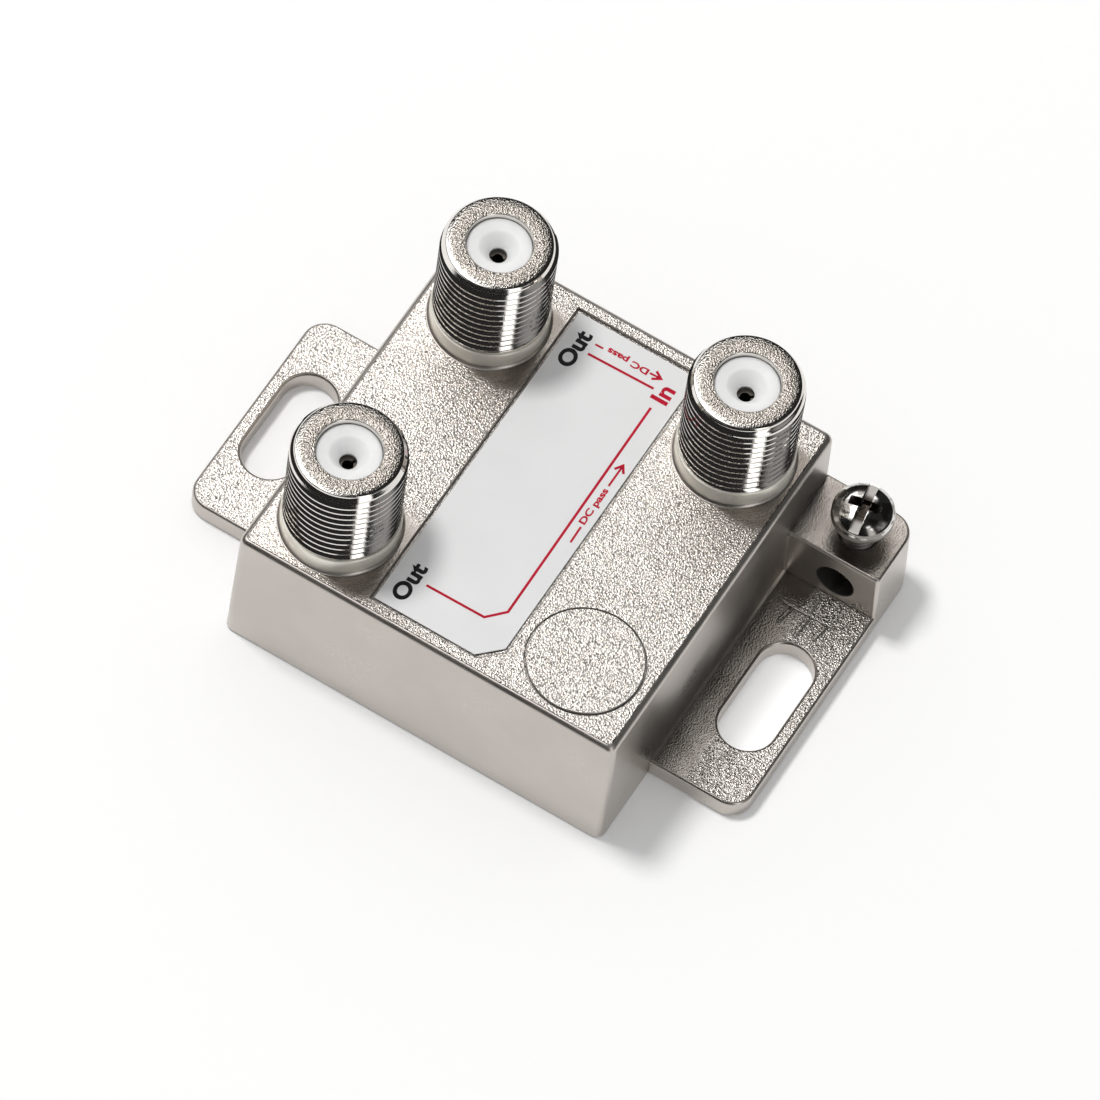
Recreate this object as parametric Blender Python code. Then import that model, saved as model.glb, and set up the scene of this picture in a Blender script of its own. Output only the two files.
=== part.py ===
"""Two-way coaxial tap: a die-cast box with three threaded ports, two slotted fixing ears and an earth clamp.

Lengths are metres. +Z points out of the ports, +X runs from ear to ear, and the origin is the centre
of the rear face that lies on the wall.
"""

import math

import bmesh
import bpy
from mathutils import Matrix, Vector

MM = 0.001

# Clearances between pieces
FIT_GAP = 0.20 * MM            # drop-in pieces: board, rear cover
BORE_GAP = 0.10 * MM           # turned pieces in their bores
LABEL_GAP = 0.06 * MM          # adhesive under the label
SOLDER_GAP = 0.08 * MM         # solder under a component

# Cast box
BOX_WIDTH = 35.5 * MM
BOX_DEPTH = 35.5 * MM
BOX_HEIGHT = 13.9 * MM
BOX_DRAFT_DEG = 1.4
BOX_CORNER_RADIUS = 0.9 * MM
BOX_EDGE_RADIUS = 0.5 * MM
SIDE_WALL = 2.0 * MM
TOP_WALL = 2.0 * MM

# Rear cover and the rebate it is pressed into
COVER_THICKNESS = 0.5 * MM
COVER_RECESS = 0.3 * MM
REBATE_WIDTH = 0.7 * MM
COVER_CORNER_RADIUS = 0.8 * MM
COVER_EDGE_RADIUS = 0.12 * MM

# Fixing ears
EAR_REACH = 8.5 * MM           # from the foot of the box to an ear's tip
EAR_THICKNESS = 1.95 * MM
EAR_LENGTH = 20.6 * MM
EAR_CORNER_RADIUS = 2.0 * MM
EAR_EDGE_RADIUS = 0.3 * MM
SLOT_WALL_MARGIN = 2.4 * MM    # metal between the box and a slot
SLOT_TIP_MARGIN = 1.3 * MM     # metal outside a slot
SLOT_END_MARGIN = 4.95 * MM    # metal at each end of a slot
WALL_OVERLAP = 0.8 * MM        # how far ears, block and ports are rooted in the box

# Earth clamp block
BLOCK_TAPER = 0.3 * MM         # its outer face leans in above the ear
BLOCK_BACK_MARGIN = 0.35 * MM  # from the back of the box to the back of the block
BLOCK_DEPTH = 6.5 * MM
BLOCK_HEIGHT = 7.75 * MM
BLOCK_CORNER_RADIUS = 2.0 * MM
BLOCK_EDGE_RADIUS = 0.25 * MM
BLOCK_FRONT_RADIUS = 0.35 * MM
WIRE_HOLE_DIAMETER = 3.4 * MM
WIRE_HOLE_HEIGHT = 4.3 * MM
SCREW_OFFSET = 0.25 * MM       # screw axis outside the middle of the ear's reach
SCREW_HOLE_FLOOR = 1.2 * MM
SCREW_MOUTH_DIAMETER = 3.6 * MM

# Earth screw, shown backed off the block
SCREW_DIAMETER = 3.0 * MM
SCREW_LENGTH = 6.0 * MM
SCREW_LIFT = 2.45 * MM         # underside of the head above the block
HEAD_DIAMETER = 5.2 * MM
HEAD_SIDE_HEIGHT = 0.75 * MM
HEAD_HEIGHT = 2.0 * MM
DRIVE_SLOT_WIDTH = 0.75 * MM
DRIVE_SLOT_DEPTH = 0.85 * MM
DRIVE_CROSS_SPAN = 3.1 * MM
DRIVE_CROSS_DEPTH = 1.25 * MM
DRIVE_TURN_DEG = 9.0

# Threaded ports
PORT_INSET_X = 6.25 * MM       # port axes from the sides of the box
PORT_INSET_Y = 6.35 * MM
PORT_HEIGHT = 11.25 * MM
PORT_COLLAR_DIAMETER = 9.8 * MM
PORT_COLLAR_HEIGHT = 1.9 * MM
PORT_THREAD_DIAMETER = 9.525 * MM
THREAD_PITCH = 0.794 * MM
THREAD_DEPTH = 0.42 * MM
PORT_CHAMFER_WIDTH = 0.46 * MM
PORT_CHAMFER_HEIGHT = 0.70 * MM
PORT_MOUTH_DIAMETER = 5.4 * MM
PORT_BORE_DIAMETER = 6.6 * MM
PORT_LIP_THICKNESS = 1.2 * MM
BLANK_PAD_DIAMETER = 10.0 * MM
BLANK_PAD_HEIGHT = 0.15 * MM

# Insulators and spring contacts inside the ports
INSULATOR_RECESS = 0.60 * MM
FUNNEL_DIAMETER = 3.5 * MM
FUNNEL_DEPTH = 1.25 * MM
PIN_HOLE_DIAMETER = 1.4 * MM
PIN_HOLE_LENGTH = 0.5 * MM
CONTACT_DIAMETER = 1.8 * MM
CONTACT_BORE_DIAMETER = 0.95 * MM
CONTACT_BORE_DEPTH = 7.5 * MM
CONTACT_SLIT_WIDTH = 0.25 * MM
CONTACT_SLIT_DEPTH = 5.0 * MM
CONTACT_FOOT = 0.5 * MM        # sleeve end above the board
TAIL_DIAMETER = 0.7 * MM
TAIL_PROJECTION = 0.7 * MM     # tail below the board

# Label and its pocket
LABEL_PORT_CLEARANCE = 1.05 * MM
LABEL_END_MARGIN = 1.95 * MM   # top face beyond each end of the label
LABEL_CENTRE_X = -0.1 * MM
LABEL_CHAMFER = 1.8 * MM
LABEL_MARGIN = 0.25 * MM
LABEL_THICKNESS = 0.12 * MM
POCKET_DEPTH = 0.32 * MM

# Circuit board on the cast shoulder
BOARD_THICKNESS = 1.0 * MM
BOARD_HEADROOM = 1.0 * MM      # between the top wall and the shoulder
SHOULDER_WIDTH = 0.8 * MM
BOARD_CORNER_RADIUS = 0.6 * MM
TAIL_HOLE_GAP = 0.1 * MM

# Two-hole ferrite cores and their windings
CORE_WIDTH = 5.4 * MM
CORE_HEIGHT = 3.2 * MM
CORE_LENGTH = 3.6 * MM
CORE_HOLE_DIAMETER = 1.5 * MM
CORE_HOLE_SPACING = 2.5 * MM
WIRE_DIAMETER = 0.28 * MM
WINDING_TURNS = 3
WINDING_PITCH = 0.36 * MM
WINDING_OVERHANG = 0.75 * MM
WINDING_LEAD_REACH = 0.9 * MM
SPLITTER_CORE_SHARE = -0.296   # places along X and Y as shares of a port's
MATCHING_CORE_SHARE = 0.487
CORE_ROW_Y = 0.6 * MM

# Chokes that carry the direct current
CHOKE_CORE_DIAMETER = 1.5 * MM
CHOKE_CORE_LENGTH = 5.4 * MM
CHOKE_COIL_GAP = 0.12 * MM
CHOKE_TURNS = 7
CHOKE_PITCH = 0.55 * MM
CHOKE_SHARE = 0.191
CHOKE_ROW_SHARE = 0.912

# Small components soldered under the board
CHIP_LENGTH = 3.2 * MM
CHIP_WIDTH = 1.6 * MM
CHIP_CAP_LENGTH = 0.5 * MM
CHIP_CAP_STEP = 0.08 * MM
CAPACITOR_HEIGHT = 1.2 * MM
RESISTOR_HEIGHT = 0.7 * MM
DIODE_LENGTH = 3.5 * MM
DIODE_DIAMETER = 1.4 * MM
DIODE_CAP_LENGTH = 0.5 * MM
DIODE_CAP_STEP = 0.05 * MM
PORT_CHIP_OFFSET = 4.6 * MM    # capacitor centre from its port's axis
RESISTOR_SHARE = -0.974
DIODE_SHARE = -0.4

# Facets round each circle
PORT_FACETS = 32
SCREW_FACETS = 32
CONTACT_FACETS = 18
WIRE_FACETS_STEP = 1           # bevel resolution of a wire
CORNER_STEPS = 4

# Heights that follow from the sizes above
ceiling_z = BOX_HEIGHT - TOP_WALL
shoulder_z = ceiling_z - BOARD_HEADROOM
board_top_z = shoulder_z - FIT_GAP
board_bottom_z = board_top_z - BOARD_THICKNESS
port_top_z = BOX_HEIGHT + PORT_HEIGHT
cavity_half_x = BOX_WIDTH / 2 - SIDE_WALL
cavity_half_y = BOX_DEPTH / 2 - SIDE_WALL
ear_tip_x = BOX_WIDTH / 2 + EAR_REACH
slot_width = EAR_REACH - SLOT_WALL_MARGIN - SLOT_TIP_MARGIN
slot_length = EAR_LENGTH - 2 * SLOT_END_MARGIN
slot_x = BOX_WIDTH / 2 + SLOT_WALL_MARGIN + slot_width / 2
block_back_y = BOX_DEPTH / 2 - BLOCK_BACK_MARGIN
block_front_y = block_back_y - BLOCK_DEPTH
screw_x = BOX_WIDTH / 2 + EAR_REACH / 2 + SCREW_OFFSET
screw_y = (block_front_y + block_back_y) / 2
port_x = BOX_WIDTH / 2 - PORT_INSET_X
port_y = BOX_DEPTH / 2 - PORT_INSET_Y
label_width = 2 * port_x - PORT_COLLAR_DIAMETER - 2 * LABEL_PORT_CLEARANCE
label_length = BOX_DEPTH - 2 * LABEL_END_MARGIN
rebate_top_z = COVER_RECESS + COVER_THICKNESS + FIT_GAP
seat_z = board_bottom_z - SOLDER_GAP

PORTS = {
    "output_a": (-port_x, port_y),
    "output_b": (-port_x, -port_y),
    "input": (port_x, port_y),
}
BLANK_PORT = (port_x, -port_y)


def make_material(name, colour, roughness, metallic):
    """Principled material with one colour."""
    material = bpy.data.materials.new(name)
    material.use_nodes = True
    shader = material.node_tree.nodes["Principled BSDF"]
    shader.inputs["Base Color"].default_value = (*colour, 1.0)
    shader.inputs["Roughness"].default_value = roughness
    shader.inputs["Metallic"].default_value = metallic
    material.diffuse_color = (*colour, 1.0)
    return material


def add_object(name, bm, material=None):
    """Closes a bmesh into an object; with no material it is a hidden cutting or joining shape."""
    bmesh.ops.remove_doubles(bm, verts=bm.verts, dist=1e-7)
    bmesh.ops.recalc_face_normals(bm, faces=bm.faces)
    mesh = bpy.data.meshes.new(name)
    bm.to_mesh(mesh)
    bm.free()
    obj = bpy.data.objects.new(name, mesh)
    bpy.context.scene.collection.objects.link(obj)
    if material is None:
        obj.hide_render = True
        obj.display_type = "WIRE"
    else:
        mesh.materials.append(material)
    return obj


def smooth_round_faces(obj, crease_deg=32.0):
    """Smooth shading with sharp edges past the crease angle."""
    obj.data.shade_smooth()
    obj.data.set_sharp_from_angle(angle=math.radians(crease_deg))


def rounded_outline(low, high, radii, steps=CORNER_STEPS):
    """Rectangle outline; radii are for the corners low-low, high-low, high-high, low-high."""
    corners = [
        (low[0], low[1], 180.0),
        (high[0], low[1], 270.0),
        (high[0], high[1], 0.0),
        (low[0], high[1], 90.0),
    ]
    points = []
    for (x, y, start_deg), radius in zip(corners, radii):
        if radius <= 0.0:
            points.append((x, y))
            continue
        centre_x = x + radius if x == low[0] else x - radius
        centre_y = y + radius if y == low[1] else y - radius
        for step in range(steps + 1):
            angle = math.radians(start_deg + 90.0 * step / steps)
            points.append((centre_x + radius * math.cos(angle), centre_y + radius * math.sin(angle)))
    return points


def stadium_outline(width, length, steps=10):
    """Slot outline with round ends, long along Y."""
    radius = width / 2
    reach = length / 2 - radius
    points = []
    for side, start_deg in ((1, 0.0), (-1, 180.0)):
        for step in range(steps + 1):
            angle = math.radians(start_deg + 180.0 * step / steps)
            points.append((radius * math.cos(angle), side * reach + radius * math.sin(angle)))
    return points


def lofted_mesh(sections):
    """Closed bmesh through sections of equal point counts; each section is (outline, z)."""
    bm = bmesh.new()
    loops = []
    for outline, z in sections:
        verts = [bm.verts.new((x, y, z)) for x, y in outline]
        loops.append([bm.edges.new((verts[i - 1], verts[i])) for i in range(len(verts))])
    for lower, upper in zip(loops, loops[1:]):
        bmesh.ops.bridge_loops(bm, edges=lower + upper)
    for loop in (loops[0], loops[-1]):
        bmesh.ops.contextual_create(bm, geom=loop)
    return bm


def prism_mesh(outline, bottom_z, top_z):
    """Straight-sided solid of one outline."""
    return lofted_mesh([(outline, bottom_z), (outline, top_z)])


def edge_rounding(radius, steps=3):
    """Insets and drops along a quarter round, from the side wall to the flat face."""
    for step in range(steps + 1):
        angle = math.radians(90.0 * step / steps)
        yield radius * (1.0 - math.cos(angle)), radius * (1.0 - math.sin(angle))


def turned_mesh(profile, facets, closed=False):
    """Solid of revolution about Z; profile is (radius, z) points. A closed profile makes a ring."""
    bm = bmesh.new()
    verts = [bm.verts.new((radius, 0.0, z)) for radius, z in profile]
    edges = [bm.edges.new(pair) for pair in zip(verts, verts[1:])]
    if closed:
        edges.append(bm.edges.new((verts[-1], verts[0])))
    bmesh.ops.spin(
        bm,
        geom=verts + edges,
        cent=(0.0, 0.0, 0.0),
        axis=(0.0, 0.0, 1.0),
        angle=math.tau,
        steps=facets,
        use_merge=True,
    )
    return bm


def moved(bm, x=0.0, y=0.0, z=0.0):
    """Shifts a bmesh and returns it."""
    bmesh.ops.translate(bm, verts=bm.verts, vec=(x, y, z))
    return bm


def turned_about(bm, axis, degrees):
    """Rotates a bmesh about a world axis and returns it."""
    rotation = Matrix.Rotation(math.radians(degrees), 3, axis)
    bmesh.ops.rotate(bm, verts=bm.verts, cent=(0.0, 0.0, 0.0), matrix=rotation)
    return bm


def boolean(obj, operation, operands):
    """Adds one exact Boolean modifier per operand, and hides the operands."""
    for operand in operands:
        modifier = obj.modifiers.new(operation.lower() + "_" + operand.name, "BOOLEAN")
        modifier.operation = operation
        modifier.solver = "EXACT"
        modifier.object = operand


def box_inset(z):
    """How far the drafted side wall stands in from the base at height z."""
    return z * math.tan(math.radians(BOX_DRAFT_DEG))


def box_section(inset):
    """Outline of the box, drawn in by an inset."""
    half_x = BOX_WIDTH / 2 - inset
    half_y = BOX_DEPTH / 2 - inset
    radius = max(BOX_CORNER_RADIUS - inset / 2, BOX_CORNER_RADIUS / 2)
    return rounded_outline((-half_x, -half_y), (half_x, half_y), [radius] * 4)


def make_box_block():
    """Outer form of the box: drafted walls, rounded corners and a rounded top edge."""
    sections = [(box_section(0.0), 0.0)]
    for inset, drop in edge_rounding(BOX_EDGE_RADIUS):
        z = BOX_HEIGHT - drop
        sections.append((box_section(box_inset(z) + inset), z))
    return lofted_mesh(sections)


def make_ear(side, back_y, back_radius):
    """One fixing ear, from inside the box wall out to its rounded end."""
    root_x = BOX_WIDTH / 2 - WALL_OVERLAP
    sections = []
    rounding = [(0.0, EAR_THICKNESS), *edge_rounding(EAR_EDGE_RADIUS)]
    for inset, drop in rounding:
        tip_x = ear_tip_x - inset
        front_y = -EAR_LENGTH / 2 + inset
        radius = EAR_CORNER_RADIUS - inset
        far_radius = max(back_radius - inset, 0.0)
        outline = rounded_outline(
            (root_x, front_y), (tip_x, back_y - inset), [0.0, radius, far_radius, 0.0]
        )
        sections.append(([(side * x, y) for x, y in outline], EAR_THICKNESS - drop))
    return lofted_mesh(sections)


def make_earth_block():
    """Clamp block beside the box: upright beside the ear, then leaning in to its top."""
    root_x = BOX_WIDTH / 2 - WALL_OVERLAP
    lean = BLOCK_TAPER / (BLOCK_HEIGHT - EAR_THICKNESS)
    levels = [(0.0, 0.0), (0.0, EAR_THICKNESS)]
    for inset, drop in edge_rounding(BLOCK_EDGE_RADIUS, steps=2):
        levels.append((inset, BLOCK_HEIGHT - drop))
    sections = []
    for inset, z in levels:
        tip_x = ear_tip_x - lean * max(z - EAR_THICKNESS, 0.0) - inset
        outline = rounded_outline(
            (root_x, block_front_y + inset),
            (tip_x, block_back_y - inset),
            [0.0, BLOCK_FRONT_RADIUS, BLOCK_CORNER_RADIUS - inset, 0.0],
        )
        sections.append((outline, z))
    return lofted_mesh(sections)


def make_port_barrel():
    """Collar and threaded barrel of one port, rooted in the top wall.

    The thread is a grid wound round the axis: each turn has a row of crests and a row of roots, and
    one end of a row meets the other end of the row two further on.
    """
    collar = PORT_COLLAR_DIAMETER / 2
    crest = PORT_THREAD_DIAMETER / 2
    root_z = BOX_HEIGHT - WALL_OVERLAP
    collar_top = BOX_HEIGHT + PORT_COLLAR_HEIGHT
    neck_z = collar_top + (collar - crest)
    end = port_top_z - PORT_CHAMFER_HEIGHT
    half_turns = math.floor(2 * (end - neck_z) / THREAD_PITCH)
    start = end - half_turns / 2 * THREAD_PITCH
    shares = [column / PORT_FACETS for column in range(PORT_FACETS + 1)]

    rows = [[point] * len(shares) for point in ((collar, root_z), (collar, collar_top), (crest, neck_z))]
    for row in range(half_turns + 3):
        points = []
        for share in shares:
            z = min(max(start + (row / 2 + share - 1.0) * THREAD_PITCH, start), end)
            run_out = min((z - start) / THREAD_PITCH, (end - z) / THREAD_PITCH, 0.5) * 2
            points.append((crest - THREAD_DEPTH * run_out * (row % 2), z))
        rows.append(points)
    rows.append([(crest - PORT_CHAMFER_WIDTH, port_top_z)] * len(shares))

    bm = bmesh.new()
    grid = []
    for points in rows:
        verts = []
        for share, (radius, z) in zip(shares, points):
            angle = math.tau * share
            verts.append(bm.verts.new((radius * math.cos(angle), radius * math.sin(angle), z)))
        grid.append(verts)
    for low, high in zip(grid, grid[1:]):
        for i in range(PORT_FACETS):
            bm.faces.new((low[i], low[i + 1], high[i + 1], high[i]))
    bmesh.ops.triangulate(bm, faces=bm.faces[:])
    for verts in (grid[0], grid[-1]):
        bm.faces.new(verts[:-1])
    return bm


def make_port_bore():
    """Stepped bore that holds the insulator behind the lip at the mouth."""
    mouth = PORT_MOUTH_DIAMETER / 2
    bore = PORT_BORE_DIAMETER / 2
    lip_z = port_top_z - PORT_LIP_THICKNESS
    profile = [
        (0.0, shoulder_z),
        (bore, shoulder_z),
        (bore, lip_z),
        (mouth, lip_z),
        (mouth, port_top_z + WALL_OVERLAP),
        (0.0, port_top_z + WALL_OVERLAP),
    ]
    return turned_mesh(profile, PORT_FACETS)


def make_blank_pad():
    """Low disc where the fourth port of this box family is left out."""
    radius = BLANK_PAD_DIAMETER / 2
    profile = [
        (0.0, BOX_HEIGHT - WALL_OVERLAP),
        (radius, BOX_HEIGHT - WALL_OVERLAP),
        (radius, BOX_HEIGHT + BLANK_PAD_HEIGHT / 3),
        (radius - BLANK_PAD_HEIGHT, BOX_HEIGHT + BLANK_PAD_HEIGHT),
        (0.0, BOX_HEIGHT + BLANK_PAD_HEIGHT),
    ]
    return turned_mesh(profile, PORT_FACETS)


def make_screw_hole():
    """Tapped hole of the earth screw, with its chamfered mouth."""
    radius = SCREW_DIAMETER / 2 + BORE_GAP
    mouth = SCREW_MOUTH_DIAMETER / 2
    profile = [
        (0.0, SCREW_HOLE_FLOOR),
        (radius, SCREW_HOLE_FLOOR),
        (radius, BLOCK_HEIGHT - (mouth - radius)),
        (mouth, BLOCK_HEIGHT),
        (mouth, BLOCK_HEIGHT + WALL_OVERLAP),
        (0.0, BLOCK_HEIGHT + WALL_OVERLAP),
    ]
    return turned_mesh(profile, SCREW_FACETS)


def make_wire_hole():
    """Cross hole for the earth wire, along Y through the block."""
    radius = WIRE_HOLE_DIAMETER / 2
    reach = block_back_y - block_front_y
    profile = [(0.0, -reach), (radius, -reach), (radius, reach), (0.0, reach)]
    return turned_about(turned_mesh(profile, SCREW_FACETS), "X", 90.0)


def label_outline(grow):
    """Label outline with its one cut corner, grown by a margin."""
    low_x = LABEL_CENTRE_X - label_width / 2 - grow
    high_x = LABEL_CENTRE_X + label_width / 2 + grow
    half_y = label_length / 2 + grow
    return [
        (low_x, -half_y),
        (high_x - LABEL_CHAMFER, -half_y),
        (high_x, -half_y + LABEL_CHAMFER),
        (high_x, half_y),
        (low_x, half_y),
    ]


def square_outline(half_x, half_y, radius):
    """Centred rounded rectangle."""
    return rounded_outline((-half_x, -half_y), (half_x, half_y), [radius] * 4)


def make_housing(material):
    """One casting: box, ears, clamp block and three ports, hollow from the rear."""
    housing = add_object("housing", make_box_block(), material)

    joined = [
        add_object("left_ear", make_ear(-1, EAR_LENGTH / 2, EAR_CORNER_RADIUS)),
        add_object("right_ear", make_ear(1, block_front_y + BLOCK_CORNER_RADIUS, 0.0)),
        add_object("earth_block", make_earth_block()),
        add_object("blank_pad", moved(make_blank_pad(), *BLANK_PORT)),
    ]
    for name, (x, y) in PORTS.items():
        joined.append(add_object(name + "_barrel", moved(make_port_barrel(), x, y)))
    boolean(housing, "UNION", joined)

    half_x = cavity_half_x
    half_y = cavity_half_y
    below = -WALL_OVERLAP
    rebate = square_outline(half_x + REBATE_WIDTH, half_y + REBATE_WIDTH, COVER_CORNER_RADIUS)
    cavity = square_outline(half_x, half_y, BOARD_CORNER_RADIUS)
    upper = square_outline(half_x - SHOULDER_WIDTH, half_y - SHOULDER_WIDTH, BOARD_CORNER_RADIUS)
    cutters = [
        add_object("cover_rebate", prism_mesh(rebate, below, rebate_top_z)),
        add_object("lower_cavity", prism_mesh(cavity, below, shoulder_z)),
        add_object("upper_cavity", prism_mesh(upper, rebate_top_z, ceiling_z)),
        add_object(
            "label_pocket",
            prism_mesh(label_outline(LABEL_MARGIN), BOX_HEIGHT - POCKET_DEPTH, port_top_z),
        ),
        add_object("wire_hole", moved(make_wire_hole(), screw_x, screw_y, WIRE_HOLE_HEIGHT)),
        add_object("screw_hole", moved(make_screw_hole(), screw_x, screw_y)),
    ]
    slot = stadium_outline(slot_width, slot_length)
    for name, side in (("left_slot", -1), ("right_slot", 1)):
        slot_mesh = prism_mesh(slot, -EAR_THICKNESS, 2 * EAR_THICKNESS)
        cutters.append(add_object(name, moved(slot_mesh, side * slot_x)))
    for name, (x, y) in PORTS.items():
        cutters.append(add_object(name + "_bore", moved(make_port_bore(), x, y)))
    boolean(housing, "DIFFERENCE", cutters)
    smooth_round_faces(housing)


def make_rear_cover(material):
    """Sheet cover pressed into the rebate round the open rear."""
    half_x = cavity_half_x + REBATE_WIDTH - FIT_GAP
    half_y = cavity_half_y + REBATE_WIDTH - FIT_GAP
    top_z = COVER_RECESS + COVER_THICKNESS
    sections = []
    for inset, drop in reversed(list(edge_rounding(COVER_EDGE_RADIUS, steps=2))):
        outline = square_outline(half_x - inset, half_y - inset, COVER_CORNER_RADIUS)
        sections.append((outline, COVER_RECESS + drop))
    sections.append((square_outline(half_x, half_y, COVER_CORNER_RADIUS), top_z))
    add_object("rear_cover", lofted_mesh(sections), material)


def make_label(material):
    """Printed film in the pocket of the top face."""
    bottom_z = BOX_HEIGHT - POCKET_DEPTH + LABEL_GAP
    add_object("label", prism_mesh(label_outline(0.0), bottom_z, bottom_z + LABEL_THICKNESS), material)


def contact_seat_z():
    """Step inside the insulator that stops the contact from coming out of the port."""
    return port_top_z - INSULATOR_RECESS - FUNNEL_DEPTH - PIN_HOLE_LENGTH


def make_insulator(name, x, y, material):
    """White bush with a funnel for the cable's pin, held behind the port's lip."""
    outer = PORT_BORE_DIAMETER / 2 - BORE_GAP
    mouth = PORT_MOUTH_DIAMETER / 2 - BORE_GAP
    funnel = FUNNEL_DIAMETER / 2
    pin = PIN_HOLE_DIAMETER / 2
    contact = CONTACT_DIAMETER / 2 + BORE_GAP
    bottom_z = board_top_z + FIT_GAP
    lip_z = port_top_z - PORT_LIP_THICKNESS - BORE_GAP
    rim_z = port_top_z - INSULATOR_RECESS
    step_z = contact_seat_z()
    profile = [
        (contact, bottom_z),
        (outer, bottom_z),
        (outer, lip_z),
        (mouth, lip_z),
        (mouth, rim_z),
        (funnel, rim_z),
        (pin, rim_z - FUNNEL_DEPTH),
        (pin, step_z),
        (contact, step_z),
    ]
    bush = add_object(name, turned_mesh(profile, PORT_FACETS, closed=True), material)
    bush.location = (x, y, 0.0)
    smooth_round_faces(bush)


def make_contact(name, x, y, slit_turn_deg, material):
    """Spring sleeve that grips the cable's pin, with its tail through the board."""
    outer = CONTACT_DIAMETER / 2
    bore = CONTACT_BORE_DIAMETER / 2
    tail = TAIL_DIAMETER / 2
    top_z = contact_seat_z() - BORE_GAP
    foot_z = board_top_z + CONTACT_FOOT
    profile = [
        (0.0, board_bottom_z - TAIL_PROJECTION),
        (tail, board_bottom_z - TAIL_PROJECTION),
        (tail, foot_z),
        (outer, foot_z),
        (outer, top_z),
        (bore, top_z),
        (bore, top_z - CONTACT_BORE_DEPTH),
        (0.0, top_z - CONTACT_BORE_DEPTH),
    ]
    sleeve = add_object(name, turned_mesh(profile, CONTACT_FACETS), material)
    half = CONTACT_SLIT_WIDTH / 2
    slit = rounded_outline((-CONTACT_DIAMETER, -half), (CONTACT_DIAMETER, half), [0.0] * 4)
    cutter = add_object(
        name + "_slit", prism_mesh(slit, top_z - CONTACT_SLIT_DEPTH, top_z + CONTACT_SLIT_WIDTH)
    )
    sleeve.location = (x, y, 0.0)
    sleeve.rotation_euler.z = math.radians(slit_turn_deg)
    cutter.location = sleeve.location
    cutter.rotation_euler = sleeve.rotation_euler
    boolean(sleeve, "DIFFERENCE", [cutter])
    smooth_round_faces(sleeve)


def dome_height(radius):
    """Height of the domed head over its cylindrical side, at a radius."""
    head_radius = HEAD_DIAMETER / 2
    rise = HEAD_HEIGHT - HEAD_SIDE_HEIGHT
    return rise * math.sqrt(max(0.0, 1.0 - (radius / head_radius) ** 2))


def make_earth_screw(material):
    """Pan head machine screw with a combined slot and cross; its origin is on its own axis."""
    shank = SCREW_DIAMETER / 2
    head = HEAD_DIAMETER / 2
    tip_chamfer = shank / 4
    profile = [
        (0.0, -SCREW_LENGTH),
        (shank - tip_chamfer, -SCREW_LENGTH),
        (shank, -SCREW_LENGTH + tip_chamfer),
        (shank, 0.0),
        (head, 0.0),
    ]
    dome_steps = 7
    for step in range(dome_steps + 1):
        angle = math.radians(90.0 * step / dome_steps)
        radius = head * math.cos(angle)
        if step == dome_steps:
            radius = 0.0
        profile.append((radius, HEAD_SIDE_HEIGHT + dome_height(radius)))
    screw = add_object("earth_screw", turned_mesh(profile, SCREW_FACETS), material)

    half_slot = DRIVE_SLOT_WIDTH / 2
    slot = rounded_outline((-half_slot, -head * 1.2), (half_slot, head * 1.2), [0.0] * 4)
    slot_cutter = add_object(
        "drive_slot", prism_mesh(slot, HEAD_HEIGHT - DRIVE_SLOT_DEPTH, HEAD_HEIGHT * 1.5)
    )
    half_span = DRIVE_CROSS_SPAN / 2
    cross = rounded_outline((-half_span, -half_slot), (half_span, half_slot), [0.0] * 4)
    lower_cross = [(x * 0.45, y * 0.8) for x, y in cross]
    cross_cutter = add_object(
        "drive_cross",
        lofted_mesh([(lower_cross, HEAD_HEIGHT - DRIVE_CROSS_DEPTH), (cross, HEAD_HEIGHT * 1.1)]),
    )
    along = [(-y, x) for x, y in cross]
    lower_along = [(-y, x) for x, y in lower_cross]
    well_cutter = add_object(
        "drive_well",
        lofted_mesh([(lower_along, HEAD_HEIGHT - DRIVE_CROSS_DEPTH), (along, HEAD_HEIGHT * 1.1)]),
    )

    axis_marker = bpy.data.objects.new("earth_screw_axis", None)
    bpy.context.scene.collection.objects.link(axis_marker)
    axis_marker.location = (screw_x, screw_y, BLOCK_HEIGHT + SCREW_LIFT)
    axis_marker.rotation_euler.z = math.radians(DRIVE_TURN_DEG)
    for piece in (screw, slot_cutter, cross_cutter, well_cutter):
        piece.parent = axis_marker
    boolean(screw, "DIFFERENCE", [slot_cutter, cross_cutter, well_cutter])
    smooth_round_faces(screw)


def make_circuit_board(material):
    """Board that drops onto the cast shoulder, drilled for the three contact tails."""
    outline = square_outline(cavity_half_x - FIT_GAP, cavity_half_y - FIT_GAP, BOARD_CORNER_RADIUS)
    board = add_object(
        "circuit_board", prism_mesh(outline, board_bottom_z, board_top_z), material
    )
    radius = TAIL_DIAMETER / 2 + TAIL_HOLE_GAP
    low_z = board_bottom_z - BOARD_THICKNESS
    high_z = board_top_z + BOARD_THICKNESS
    profile = [(0.0, low_z), (radius, low_z), (radius, high_z), (0.0, high_z)]
    holes = []
    for name, (x, y) in PORTS.items():
        hole = turned_mesh(profile, CONTACT_FACETS)
        holes.append(add_object(name + "_tail_hole", moved(hole, x, y)))
    boolean(board, "DIFFERENCE", holes)


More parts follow.
